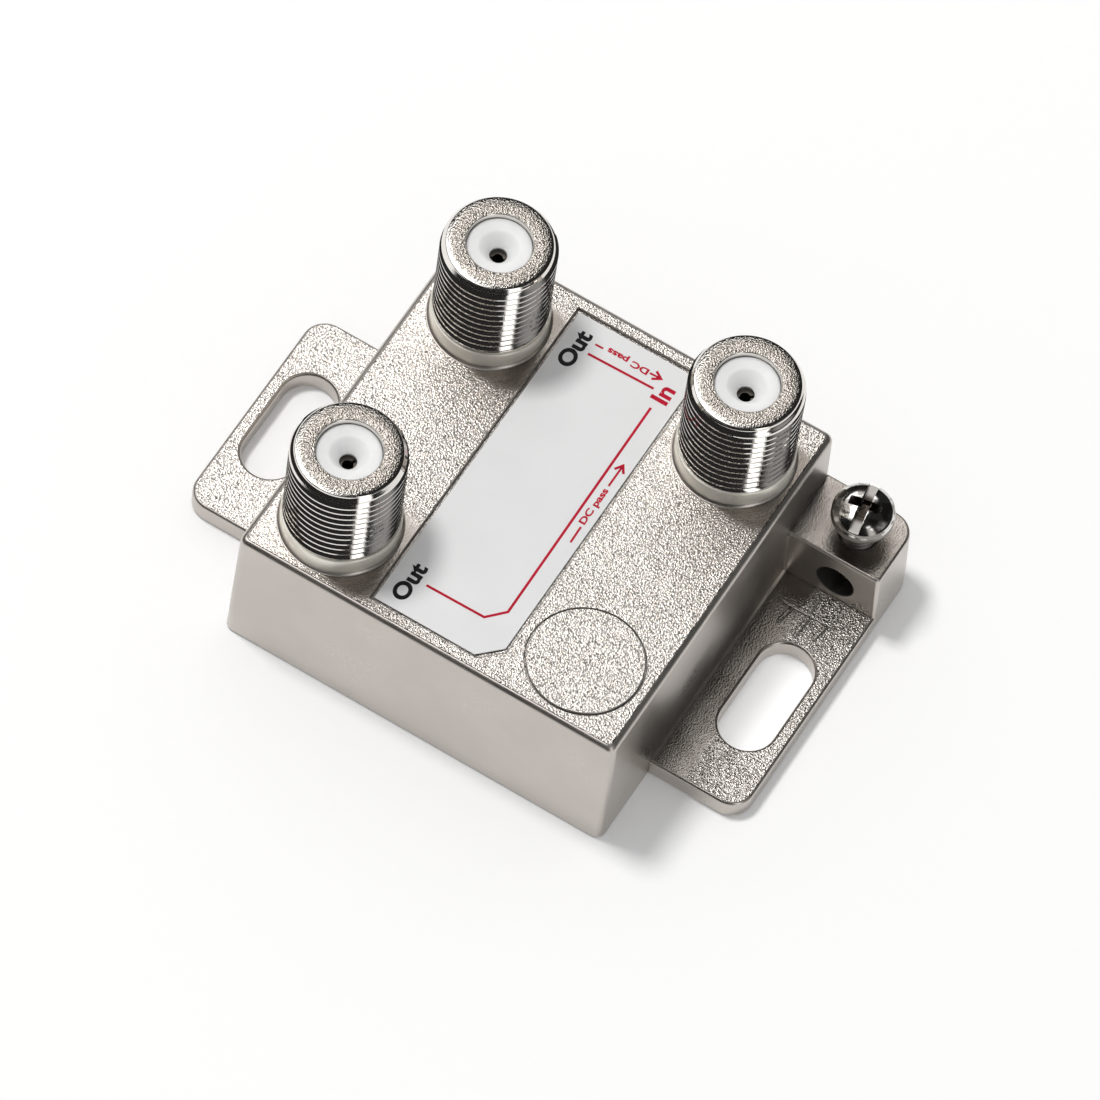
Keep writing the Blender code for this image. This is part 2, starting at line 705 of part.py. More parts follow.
def make_two_hole_core(name, x, y, material):
    """Two-hole ferrite core on its side under the board, holes along Y."""
    outline = stadium_outline(CORE_HEIGHT, CORE_WIDTH)
    core_mesh = prism_mesh(outline, -CORE_LENGTH / 2, CORE_LENGTH / 2)
    turned_about(core_mesh, "Z", 90.0)
    turned_about(core_mesh, "X", 90.0)
    core = add_object(name, core_mesh, material)
    core.location = (x, y, seat_z - CORE_HEIGHT / 2)

    radius = CORE_HOLE_DIAMETER / 2
    profile = [(0.0, -CORE_LENGTH), (radius, -CORE_LENGTH), (radius, CORE_LENGTH), (0.0, CORE_LENGTH)]
    holes = []
    for side in (-1, 1):
        hole_mesh = turned_about(turned_mesh(profile, CONTACT_FACETS), "X", 90.0)
        hole = add_object(f"{name}_hole_{side + 2}", hole_mesh)
        hole.location = core.location + Vector((side * CORE_HOLE_SPACING / 2, 0.0, 0.0))
        holes.append(hole)
    boolean(core, "DIFFERENCE", holes)
    smooth_round_faces(core)


def add_wire(name, points, material):
    """Round enamelled wire along a path of points, with filled ends."""
    curve = bpy.data.curves.new(name, "CURVE")
    curve.dimensions = "3D"
    curve.bevel_depth = WIRE_DIAMETER / 2
    curve.bevel_resolution = WIRE_FACETS_STEP
    curve.use_fill_caps = True
    spline = curve.splines.new("POLY")
    spline.points.add(len(points) - 1)
    for spot, point in zip(spline.points, points):
        spot.co = (*point, 1.0)
    curve.materials.append(material)
    wire = bpy.data.objects.new(name, curve)
    bpy.context.scene.collection.objects.link(wire)
    return wire


def make_core_winding(name, x, y, material):
    """Turns of wire through both holes of a core; both ends rise to the board."""
    half_span = CORE_HOLE_SPACING / 2
    straight = CORE_LENGTH / 2 + WIRE_DIAMETER
    steps = 4
    lap = []
    for end, start_deg in ((1, 0.0), (-1, 180.0)):
        for step in range(steps + 1):
            angle = math.radians(start_deg + 180.0 * step / steps)
            bow = WINDING_OVERHANG * abs(math.sin(angle))
            lap.append((half_span * math.cos(angle), end * (straight + bow)))
    total = WINDING_TURNS * len(lap)
    rise = WINDING_TURNS * WINDING_PITCH
    points = []
    for index in range(total + 1):
        lap_x, lap_y = lap[index % len(lap)]
        points.append((lap_x, lap_y, rise * (index / total - 0.5)))
    board_reach = CORE_HEIGHT / 2
    first = points[0]
    last = points[-1]
    lead_y = -straight - WINDING_LEAD_REACH
    start = [
        (first[0] + WINDING_LEAD_REACH, lead_y, board_reach),
        (first[0] + WINDING_LEAD_REACH, lead_y, first[2]),
        (first[0], -straight, first[2]),
    ]
    finish = [
        (last[0], straight + WIRE_DIAMETER, last[2] + WIRE_DIAMETER / 2),
        (last[0] + WINDING_LEAD_REACH, straight + WINDING_LEAD_REACH, last[2] + WIRE_DIAMETER),
        (last[0] + WINDING_LEAD_REACH, straight + WINDING_LEAD_REACH, board_reach),
    ]
    wire = add_wire(name, start + points + finish, material)
    wire.location = (x, y, seat_z - CORE_HEIGHT / 2)


def make_choke(name, x, y, core_material, wire_material):
    """Ferrite rod inside an open coil whose ends rise to the board."""
    coil_radius = CHOKE_CORE_DIAMETER / 2 + CHOKE_COIL_GAP + WIRE_DIAMETER / 2
    drop = coil_radius + WIRE_DIAMETER
    height = seat_z - drop
    radius = CHOKE_CORE_DIAMETER / 2
    half = CHOKE_CORE_LENGTH / 2
    rod_mesh = turned_mesh([(0.0, -half), (radius, -half), (radius, half), (0.0, half)], CONTACT_FACETS)
    rod = add_object(name + "_core", turned_about(rod_mesh, "Y", 90.0), core_material)
    rod.location = (x, y, height)
    smooth_round_faces(rod)

    steps = 8
    length = CHOKE_TURNS * CHOKE_PITCH
    points = [(-length / 2, 0.0, drop)]
    for index in range(CHOKE_TURNS * steps + 1):
        angle = math.tau * index / steps
        along = length * (index / (CHOKE_TURNS * steps) - 0.5)
        points.append((along, coil_radius * math.sin(angle), coil_radius * math.cos(angle)))
    points.append((length / 2, 0.0, drop))
    coil = add_wire(name + "_coil", points, wire_material)
    coil.location = (x, y, height)


def make_chip(name, x, y, height, material):
    """Surface-mount chip: a body between two slightly thicker end caps."""
    half_length = CHIP_LENGTH / 2
    half_width = CHIP_WIDTH / 2
    sections = []
    for along, step_in in (
        (-half_length, 0.0),
        (-half_length + CHIP_CAP_LENGTH, 0.0),
        (-half_length + CHIP_CAP_LENGTH, CHIP_CAP_STEP),
        (half_length - CHIP_CAP_LENGTH, CHIP_CAP_STEP),
        (half_length - CHIP_CAP_LENGTH, 0.0),
        (half_length, 0.0),
    ):
        outline = rounded_outline(
            (-half_width + step_in, -height / 2 + step_in),
            (half_width - step_in, height / 2 - step_in),
            [CHIP_CAP_STEP] * 4,
            steps=1,
        )
        sections.append((outline, along))
    chip = add_object(name, turned_about(lofted_mesh(sections), "X", 90.0), material)
    chip.location = (x, y, seat_z - height / 2)


def make_diode(name, x, y, material):
    """Glass cylinder diode with metal end caps, along X under the board."""
    half = DIODE_LENGTH / 2
    cap = DIODE_DIAMETER / 2
    body = cap - DIODE_CAP_STEP
    inner = half - DIODE_CAP_LENGTH
    profile = [
        (0.0, -half),
        (cap, -half),
        (cap, -inner),
        (body, -inner),
        (body, inner),
        (cap, inner),
        (cap, half),
        (0.0, half),
    ]
    diode = add_object(name, turned_about(turned_mesh(profile, CONTACT_FACETS), "Y", 90.0), material)
    diode.location = (x, y, seat_z - cap)
    smooth_round_faces(diode)


def main():
    """Builds every piece of the tap."""
    for obj in list(bpy.data.objects):
        bpy.data.objects.remove(obj)

    cast_nickel = make_material("cast_nickel", (0.66, 0.63, 0.60), 0.38, 1.0)
    tinned_sheet = make_material("tinned_sheet", (0.70, 0.70, 0.69), 0.30, 1.0)
    label_film = make_material("label_film", (0.83, 0.84, 0.86), 0.45, 0.0)
    white_plastic = make_material("white_plastic", (0.86, 0.86, 0.85), 0.40, 0.0)
    contact_metal = make_material("contact_metal", (0.80, 0.66, 0.38), 0.25, 1.0)
    bright_screw = make_material("bright_screw", (0.78, 0.77, 0.75), 0.16, 1.0)
    board_laminate = make_material("board_laminate", (0.07, 0.30, 0.14), 0.45, 0.0)
    ferrite = make_material("ferrite", (0.09, 0.09, 0.10), 0.60, 0.0)
    enamelled_wire = make_material("enamelled_wire", (0.60, 0.22, 0.08), 0.30, 1.0)
    capacitor_body = make_material("capacitor_body", (0.55, 0.40, 0.26), 0.50, 0.0)
    resistor_body = make_material("resistor_body", (0.05, 0.05, 0.06), 0.45, 0.0)
    diode_glass = make_material("diode_glass", (0.60, 0.22, 0.12), 0.15, 0.0)

    make_housing(cast_nickel)
    make_rear_cover(tinned_sheet)
    make_label(label_film)
    make_earth_screw(bright_screw)
    make_circuit_board(board_laminate)

    for turn_deg, (name, (x, y)) in zip((20.0, 65.0, 40.0), PORTS.items()):
        make_insulator(name + "_insulator", x, y, white_plastic)
        make_contact(name + "_contact", x, y, turn_deg, contact_metal)
        inward = -math.copysign(PORT_CHIP_OFFSET, y)
        make_chip(name + "_capacitor", x, y + inward, CAPACITOR_HEIGHT, capacitor_body)

    for name, share in (("splitter", SPLITTER_CORE_SHARE), ("matching", MATCHING_CORE_SHARE)):
        make_two_hole_core(name + "_core", share * port_x, CORE_ROW_Y, ferrite)
        make_core_winding(name + "_winding", share * port_x, CORE_ROW_Y, enamelled_wire)

    row_y = CHOKE_ROW_SHARE * port_y
    for suffix, side in (("a", 1), ("b", -1)):
        make_choke("choke_" + suffix, CHOKE_SHARE * port_x, side * row_y, ferrite, enamelled_wire)
        make_diode("diode_" + suffix, DIODE_SHARE * port_x, side * row_y, diode_glass)

    make_chip("balance_resistor", RESISTOR_SHARE * port_x, 0.0, RESISTOR_HEIGHT, resistor_body)


main()
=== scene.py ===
import math

import bmesh
import bpy
from mathutils import Matrix, Vector


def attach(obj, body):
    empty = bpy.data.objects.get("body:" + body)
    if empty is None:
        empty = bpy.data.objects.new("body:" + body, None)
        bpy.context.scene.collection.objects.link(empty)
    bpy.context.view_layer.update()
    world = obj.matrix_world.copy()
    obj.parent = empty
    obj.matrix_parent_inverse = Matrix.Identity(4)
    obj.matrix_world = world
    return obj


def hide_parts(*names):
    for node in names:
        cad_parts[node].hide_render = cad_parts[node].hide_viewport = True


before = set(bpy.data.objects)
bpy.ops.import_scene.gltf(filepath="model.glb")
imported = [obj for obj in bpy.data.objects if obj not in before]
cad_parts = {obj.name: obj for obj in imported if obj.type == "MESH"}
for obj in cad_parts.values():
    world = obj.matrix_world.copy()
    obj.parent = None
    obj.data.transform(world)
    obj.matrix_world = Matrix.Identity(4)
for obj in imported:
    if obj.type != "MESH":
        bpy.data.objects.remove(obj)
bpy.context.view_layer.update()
print("frame loaded:", len(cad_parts), "solids")

mm = 0.001   # every piece is drawn in millimetres and set to metres when it is finished


# mesh tools
def arcPoints(centreX, centreY, radius, startDegrees, sweepDegrees, steps):
    points = []
    for step in range(steps + 1):
        angle = math.radians(startDegrees + sweepDegrees * step / steps)
        points.append((centreX + radius * math.cos(angle), centreY + radius * math.sin(angle)))
    return points


def roundedOutline(low, high, radii, steps=8):
    # radii are for the corners low-low, high-low, high-high, low-high
    corners = ((low[0], low[1], 1, 1, 180), (high[0], low[1], -1, 1, 270),
               (high[0], high[1], -1, -1, 0), (low[0], high[1], 1, -1, 90))
    points = []
    for (x, y, inX, inY, start), radius in zip(corners, radii):
        if radius > 0:
            points += arcPoints(x + inX * radius, y + inY * radius, radius, start, 90, steps)
        else:
            points.append((x, y))
    return points


def stadiumOutline(width, length, steps=20):
    reach = (length - width) / 2
    return (arcPoints(0, reach, width / 2, 0, 180, steps)
            + arcPoints(0, -reach, width / 2, 180, 180, steps))


def quarterRound(radius, steps=5):
    # (inset, drop) pairs from the upright side to the flat top
    for step in range(steps + 1):
        angle = math.radians(90 * step / steps)
        yield radius * (1 - math.cos(angle)), radius * (1 - math.sin(angle))


def loft(rings, capped=True, closed=False):
    bm = bmesh.new()
    loops = [[bm.verts.new(point) for point in ring] for ring in rings]
    pairs = list(zip(loops, loops[1:]))
    if closed:
        pairs.append((loops[-1], loops[0]))
    for low, high in pairs:
        for i in range(len(low)):
            bm.faces.new((low[i - 1], low[i], high[i], high[i - 1]))
    if capped and not closed:
        bm.faces.new(loops[0])
        bm.faces.new(loops[-1])
    return bm


def stacked(sections):
    # each section is (outline, z)
    return loft([[(x, y, z) for x, y in outline] for outline, z in sections])


def turned(profile, facets, closed=False):
    # profile is (radius, z); it starts and ends on the axis unless it is closed
    rings = []
    for radius, z in profile:
        rings.append([(radius * math.cos(math.tau * i / facets),
                       radius * math.sin(math.tau * i / facets), z) for i in range(facets)])
    return loft(rings, capped=False, closed=closed)


def shifted(bm, x=0.0, y=0.0, z=0.0):
    bmesh.ops.translate(bm, verts=bm.verts, vec=(x, y, z))
    return bm


def swung(bm, axis, degrees):
    bmesh.ops.rotate(bm, verts=bm.verts, cent=(0, 0, 0),
                     matrix=Matrix.Rotation(math.radians(degrees), 3, axis))
    return bm


def toObject(name, bm):
    bmesh.ops.remove_doubles(bm, verts=bm.verts, dist=1e-5)
    bmesh.ops.dissolve_degenerate(bm, edges=bm.edges, dist=1e-6)
    bmesh.ops.recalc_face_normals(bm, faces=bm.faces)
    mesh = bpy.data.meshes.new(name)
    bm.to_mesh(mesh)
    bm.free()
    obj = bpy.data.objects.new(name, mesh)
    bpy.context.scene.collection.objects.link(obj)
    return obj


def settle(obj):
    # the modifiers' result becomes the object's own plain mesh
    evaluated = obj.evaluated_get(bpy.context.evaluated_depsgraph_get())
    mesh = bpy.data.meshes.new_from_object(evaluated)
    obj.modifiers.clear()
    obj.data = mesh
    return obj


def combine(obj, operation, others):
    for other in others:
        step = obj.modifiers.new(other.name, "BOOLEAN")
        step.operation = operation
        step.solver = "EXACT"
        step.object = other
        settle(obj)
        bpy.data.objects.remove(other)
    return obj


def finishPiece(obj, material, body, nodes=(), creaseDegrees=32):
    mesh = obj.data
    mesh.transform(Matrix.Scale(mm, 4))
    mesh.shade_smooth()
    mesh.set_sharp_from_angle(angle=math.radians(creaseDegrees))
    weighted = obj.modifiers.new("weighted", "WEIGHTED_NORMAL")
    weighted.keep_sharp = True
    settle(obj)
    obj.data.materials.clear()
    obj.data.materials.append(material)
    for face in obj.data.polygons:
        face.material_index = 0
    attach(obj, body)
    if nodes:
        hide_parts(*nodes)
    return obj


# node tools
def feed(tree, socket, value):
    if isinstance(value, bpy.types.NodeSocket):
        tree.links.new(value, socket)
    else:
        socket.default_value = value


def mathNode(tree, operation, *values, clamp=False):
    node = tree.nodes.new("ShaderNodeMath")
    node.operation = operation
    node.use_clamp = clamp
    for socket, value in zip(node.inputs, values):
        feed(tree, socket, value)
    return node.outputs[0]


def chained(tree, operation, *values):
    total = values[0]
    for value in values[1:]:
        total = mathNode(tree, operation, total, value)
    return total


def product(tree, *values):
    return chained(tree, "MULTIPLY", *values)


def squareSum(tree, first, second):
    return mathNode(tree, "ADD", product(tree, first, first), product(tree, second, second))


def mapRange(tree, value, low, high, outLow=0.0, outHigh=1.0, smooth=True):
    node = tree.nodes.new("ShaderNodeMapRange")
    node.interpolation_type = "SMOOTHSTEP" if smooth else "LINEAR"
    for name, part in zip(("Value", "From Min", "From Max", "To Min", "To Max"),
                          (value, low, high, outLow, outHigh)):
        feed(tree, node.inputs[name], part)
    return node.outputs["Result"]


def between(tree, value, low, high, soft):
    # 1 inside a range, with soft ends
    return product(tree, mapRange(tree, value, low - soft, low + soft),
                   mapRange(tree, value, high - soft, high + soft, 1.0, 0.0))


def opaque(colour, share=1.0):
    # a colour socket's value, made darker by a share below 1
    return (*[part * share for part in colour], 1)


def mixColour(tree, share, first, second):
    node = tree.nodes.new("ShaderNodeMix")
    node.data_type = "RGBA"
    feed(tree, node.inputs[0], share)
    feed(tree, node.inputs[6], first)
    feed(tree, node.inputs[7], second)
    return node.outputs[2]


def mixValue(tree, share, first, second):
    node = tree.nodes.new("ShaderNodeMix")
    node.data_type = "FLOAT"
    for index, value in ((0, share), (2, first), (3, second)):
        feed(tree, node.inputs[index], value)
    return node.outputs[0]


def vectorParts(tree, vector):
    node = tree.nodes.new("ShaderNodeSeparateXYZ")
    tree.links.new(vector, node.inputs[0])
    return node.outputs


def newGroup(name, kind, inputs, outputs):
    tree = bpy.data.node_groups.new(name, kind)
    for label, socket, value in inputs:
        made = tree.interface.new_socket(label, in_out="INPUT", socket_type="NodeSocket" + socket)
        if value is not None:
            made.default_value = value
    for label, socket in outputs:
        tree.interface.new_socket(label, in_out="OUTPUT", socket_type="NodeSocket" + socket)
    return tree, tree.nodes.new("NodeGroupInput").outputs, tree.nodes.new("NodeGroupOutput").inputs


def camelKey(label):
    key = label.replace(" ", "")
    return key[0].lower() + key[1:]


def placeGroup(tree, group, **values):
    # a shared effect, its sockets given by their names in camelCase
    node = tree.nodes.new("ShaderNodeGroup")
    node.node_tree = group
    for socket in node.inputs:
        key = camelKey(socket.name)
        if key in values:
            feed(tree, socket, values[key])
    return node.outputs


# surface effects that several finishes share
effects = {
    "cellScale": 1.15, "cellShare": 0.8, "grainDetail": 2.0, "grainRoughness": 0.6, "speckRange": (0.36, 0.52),
    "cloudDetail": 3.0, "cloudRoughness": 0.5, "cloudRange": (0.3, 0.7),
    "wearSamples": 3, "wearTurn": (0.01, 0.2), "dirtSamples": 4, "capEdge": 0.02 * mm,
}


def makeGrainGroup():
    # height and specks of blasted metal, and the slow clouds that vary its colour and roughness
    tree, given, out = newGroup(
        "blastedGrain", "ShaderNodeTree",
        (("Vector", "Vector", None), ("Grain Size", "Float", 0.2), ("Cloud Size", "Float", 4.0)),
        (("Height", "Float"), ("Speck", "Float"), ("Cloud", "Float")))

    def scaled(size):
        node = tree.nodes.new("ShaderNodeVectorMath")
        node.operation = "SCALE"
        tree.links.new(given["Vector"], node.inputs[0])
        tree.links.new(mathNode(tree, "DIVIDE", 1 / mm, size), node.inputs["Scale"])
        return node.outputs[0]

    def noise(vector, detail, roughness):
        node = tree.nodes.new("ShaderNodeTexNoise")
        tree.links.new(vector, node.inputs["Vector"])
        node.inputs["Scale"].default_value = 1.0
        node.inputs["Detail"].default_value = detail
        node.inputs["Roughness"].default_value = roughness
        return node.outputs["Fac"]

    fine = scaled(given["Grain Size"])
    cells = tree.nodes.new("ShaderNodeTexVoronoi")
    cells.feature = "F1"
    tree.links.new(fine, cells.inputs["Vector"])
    cells.inputs["Scale"].default_value = effects["cellScale"]
    bumps = product(tree, cells.outputs["Distance"], effects["cellShare"])
    rough = noise(fine, effects["grainDetail"], effects["grainRoughness"])
    slow = noise(scaled(given["Cloud Size"]), effects["cloudDetail"], effects["cloudRoughness"])
    tree.links.new(mathNode(tree, "ADD", rough, bumps), out["Height"])
    tree.links.new(mapRange(tree, rough, *effects["speckRange"]), out["Speck"])
    tree.links.new(mapRange(tree, slow, *effects["cloudRange"]), out["Cloud"])
    return tree


def makeWearGroup():
    # 1 on sharp outer and inner edges, broken up by a mask
    tree, given, out = newGroup(
        "edgeWear", "ShaderNodeTree",
        (("Radius", "Float", 0.0001), ("Break Up", "Float", 0.5)),
        (("Wear", "Float"),))
    rounded = tree.nodes.new("ShaderNodeBevel")
    rounded.samples = effects["wearSamples"]
    tree.links.new(given["Radius"], rounded.inputs["Radius"])
    geometry = tree.nodes.new("ShaderNodeNewGeometry")
    dot = tree.nodes.new("ShaderNodeVectorMath")
    dot.operation = "DOT_PRODUCT"
    tree.links.new(rounded.outputs["Normal"], dot.inputs[0])
    tree.links.new(geometry.outputs["Normal"], dot.inputs[1])
    turn = mathNode(tree, "SUBTRACT", 1.0, dot.outputs["Value"])
    edge = mapRange(tree, turn, *effects["wearTurn"])
    tree.links.new(product(tree, edge, given["Break Up"]), out["Wear"])
    return tree


def makeFacingGroup():
    # 1 on faces that look up out of the mould, 0 on the drawn side walls
    tree, given, out = newGroup("upwardFace", "ShaderNodeTree",
                                (("From", "Float", 0.96), ("To", "Float", 0.995)), (("Mask", "Float"),))
    up = vectorParts(tree, tree.nodes.new("ShaderNodeTexCoord").outputs["Normal"])["Z"]
    tree.links.new(mapRange(tree, up, given["From"], given["To"]), out["Mask"])
    return tree


def makeCreviceShadeGroup():
    # 1 deep in a crevice or gap, 0 on open faces; it lays painted shade into the creases
    tree, given, out = newGroup(
        "creviceDirt", "ShaderNodeTree",
        (("Distance", "Float", 0.0004), ("Open", "Float", 0.62), ("Closed", "Float", 0.25)),
        (("Mask", "Float"),))
    shade = tree.nodes.new("ShaderNodeAmbientOcclusion")
    shade.samples = effects["dirtSamples"]
    tree.links.new(given["Distance"], shade.inputs["Distance"])
    tree.links.new(mapRange(tree, shade.outputs["AO"], given["Closed"], given["Open"], 1.0, 0.0), out["Mask"])
    return tree


def makeLeeReflectionGroup():
    # 1 inside an upright cylinder, 0 past its soft side
    tree, given, out = newGroup(
        "blastLee", "ShaderNodeTree",
        (("Vector", "Vector", None), ("Middle", "Vector", None), ("Radius", "Float", 0.006),
         ("Soft", "Float", 0.001)),
        (("Mask", "Float"),))
    flat = tree.nodes.new("ShaderNodeVectorMath")
    flat.operation = "MULTIPLY"
    tree.links.new(given["Vector"], flat.inputs[0])
    flat.inputs[1].default_value = (1, 1, 0)
    away = tree.nodes.new("ShaderNodeVectorMath")
    away.operation = "DISTANCE"
    tree.links.new(flat.outputs[0], away.inputs[0])
    tree.links.new(given["Middle"], away.inputs[1])
    outer = mathNode(tree, "ADD", given["Radius"], given["Soft"])
    tree.links.new(mapRange(tree, away.outputs["Value"], given["Radius"], outer, 1.0, 0.0), out["Mask"])
    return tree


def makeCapGroup():
    # the metal ends of a small component: 1 past a distance from its middle
    tree, given, out = newGroup(
        "endCap", "ShaderNodeTree",
        (("Vector", "Vector", None), ("Middle", "Vector", None), ("Along", "Vector", None),
         ("Reach", "Float", 0.001)),
        (("Cap", "Float"),))
    away = tree.nodes.new("ShaderNodeVectorMath")
    away.operation = "SUBTRACT"
    tree.links.new(given["Vector"], away.inputs[0])
    tree.links.new(given["Middle"], away.inputs[1])
    along = tree.nodes.new("ShaderNodeVectorMath")
    along.operation = "DOT_PRODUCT"
    tree.links.new(away.outputs[0], along.inputs[0])
    tree.links.new(given["Along"], along.inputs[1])
    past = mathNode(tree, "SUBTRACT", mathNode(tree, "ABSOLUTE", along.outputs["Value"]), given["Reach"])
    tree.links.new(mapRange(tree, past, -effects["capEdge"], effects["capEdge"]), out["Cap"])
    return tree


grainGroup = makeGrainGroup()
wearGroup = makeWearGroup()
facingGroup = makeFacingGroup()
creviceShadeGroup = makeCreviceShadeGroup()
capGroup = makeCapGroup()
leeReflectionGroup = makeLeeReflectionGroup()


def newFinish(name, colour, roughness, metallic=0.0):
    material = bpy.data.materials.new(name)
    material.use_nodes = True
    tree = material.node_tree
    shader = tree.nodes["Principled BSDF"]
    shader.inputs["Base Color"].default_value = opaque(colour)
    shader.inputs["Roughness"].default_value = roughness
    shader.inputs["Metallic"].default_value = metallic
    place = tree.nodes.new("ShaderNodeTexCoord").outputs["Object"]
    return material, tree, shader, place


def addBump(tree, shader, height, depth):
    bump = tree.nodes.new("ShaderNodeBump")
    bump.inputs["Strength"].default_value = 1.0
    bump.inputs["Distance"].default_value = depth
    tree.links.new(height, bump.inputs["Height"])
    tree.links.new(bump.outputs["Normal"], shader.inputs["Normal"])


# finishes; fades and grain sizes are in mm
castFinish = {
    "topColour": (0.70, 0.655, 0.61), "leftColour": (0.84, 0.785, 0.735), "leftFade": (-14.0, -4.0),
    "speckColour": (0.13, 0.115, 0.10), "speckShare": 0.75,
    "topGrain": 0.16, "topCloud": 4.0, "topDepth": 0.05 * mm, "topRoughness": 0.17, "topSpread": 0.06,
    "wallColour": (0.57, 0.528, 0.49), "wallDarker": 0.9, "wallPatch": 0.35, "milk": 0.07,
    "wallGrain": 0.19, "wallCloud": 5.0, "wallDepth": 0.0006 * mm, "wallRoughness": 0.27, "wallSpread": 0.08,
    "leeColour": (0.19, 0.167, 0.147), "leeShare": 0.68, "leeLevel": 0.78, "leeSpeck": -0.6,
    "leePatch": (-0.3, 0.97), "earLeeFade": 0.7, "blockLeeFade": 0.3, "wallLeeFade": 0.2,
    "collarColour": (0.92, 0.88, 0.79), "collarBare": 0.44, "collarFade": 0.25,
    "edgeColour": (0.82, 0.79, 0.76), "edgeRadius": 0.12 * mm, "edgeShare": 0.6, "edgeBare": 0.6,
    "dirtColour": (0.025, 0.022, 0.02), "dirtReach": 0.45 * mm, "dirtShare": 0.92, "dirtRough": 0.25,
    "dirtBare": 0.5, "holeShare": 0.97, "holeFade": 0.1,
}
threadFinish = dict(
    castFinish, topColour=(0.48, 0.442, 0.40), leftColour=(0.48, 0.442, 0.40), speckShare=0.6,
    wallColour=(0.82, 0.79, 0.75), milk=0.0, wallGrain=0.12, wallCloud=1.6, wallDepth=0.0008 * mm,
    wallRoughness=0.05, wallSpread=0.06, edgeRadius=0.05 * mm, edgeShare=0.3, dirtReach=0.3 * mm, dirtShare=0.6)
leeReflectionZones = {   # x, y, radius and soft side of each port's lee, then the ear strip's x range and its end; tops there are smoother and carry a painted dark reflection
    "ports": ((-8.2, 10.5, 4.0, 1.1), (-8.2, -12.3, 4.0, 1.1), (14.8, 10.5, 4.0, 1.1)),
    "ear": (17.6, 20.6, 10.7),
}


def leeReflectionMask(tree, look, place, parts, lees, earLee):
    # 1 where the blast didn't reach; the tops there are smoother and carry a painted dark reflection
    masks = []
    for x, y, radius, soft in lees:
        masks.append(placeGroup(tree, leeReflectionGroup, vector=place, middle=(x * mm, y * mm, 0), radius=radius * mm,
                                soft=soft * mm)["Mask"])
    fromX, toX, fromY = earLee
    strip = mapRange(tree, parts["X"], toX * mm, (toX + look["earLeeFade"]) * mm, 1.0, 0.0)
    block = mapRange(tree, parts["Y"], fromY * mm, (fromY + look["blockLeeFade"]) * mm)
    beside = mapRange(tree, parts["X"], (fromX - look["wallLeeFade"]) * mm, fromX * mm)
    masks.append(product(tree, mathNode(tree, "MAXIMUM", strip, block), beside))
    return chained(tree, "MAXIMUM", *masks)


def holeMask(tree, look, parts, hole):
    # painted shade inside a hole along Y
    x, z, radius = hole
    across = mathNode(tree, "SUBTRACT", parts["X"], x * mm)
    above = mathNode(tree, "SUBTRACT", parts["Z"], z * mm)
    away = mathNode(tree, "SQRT", squareSum(tree, across, above))
    return mapRange(tree, away, radius * mm, (radius + look["holeFade"]) * mm, look["holeShare"], 0.0)


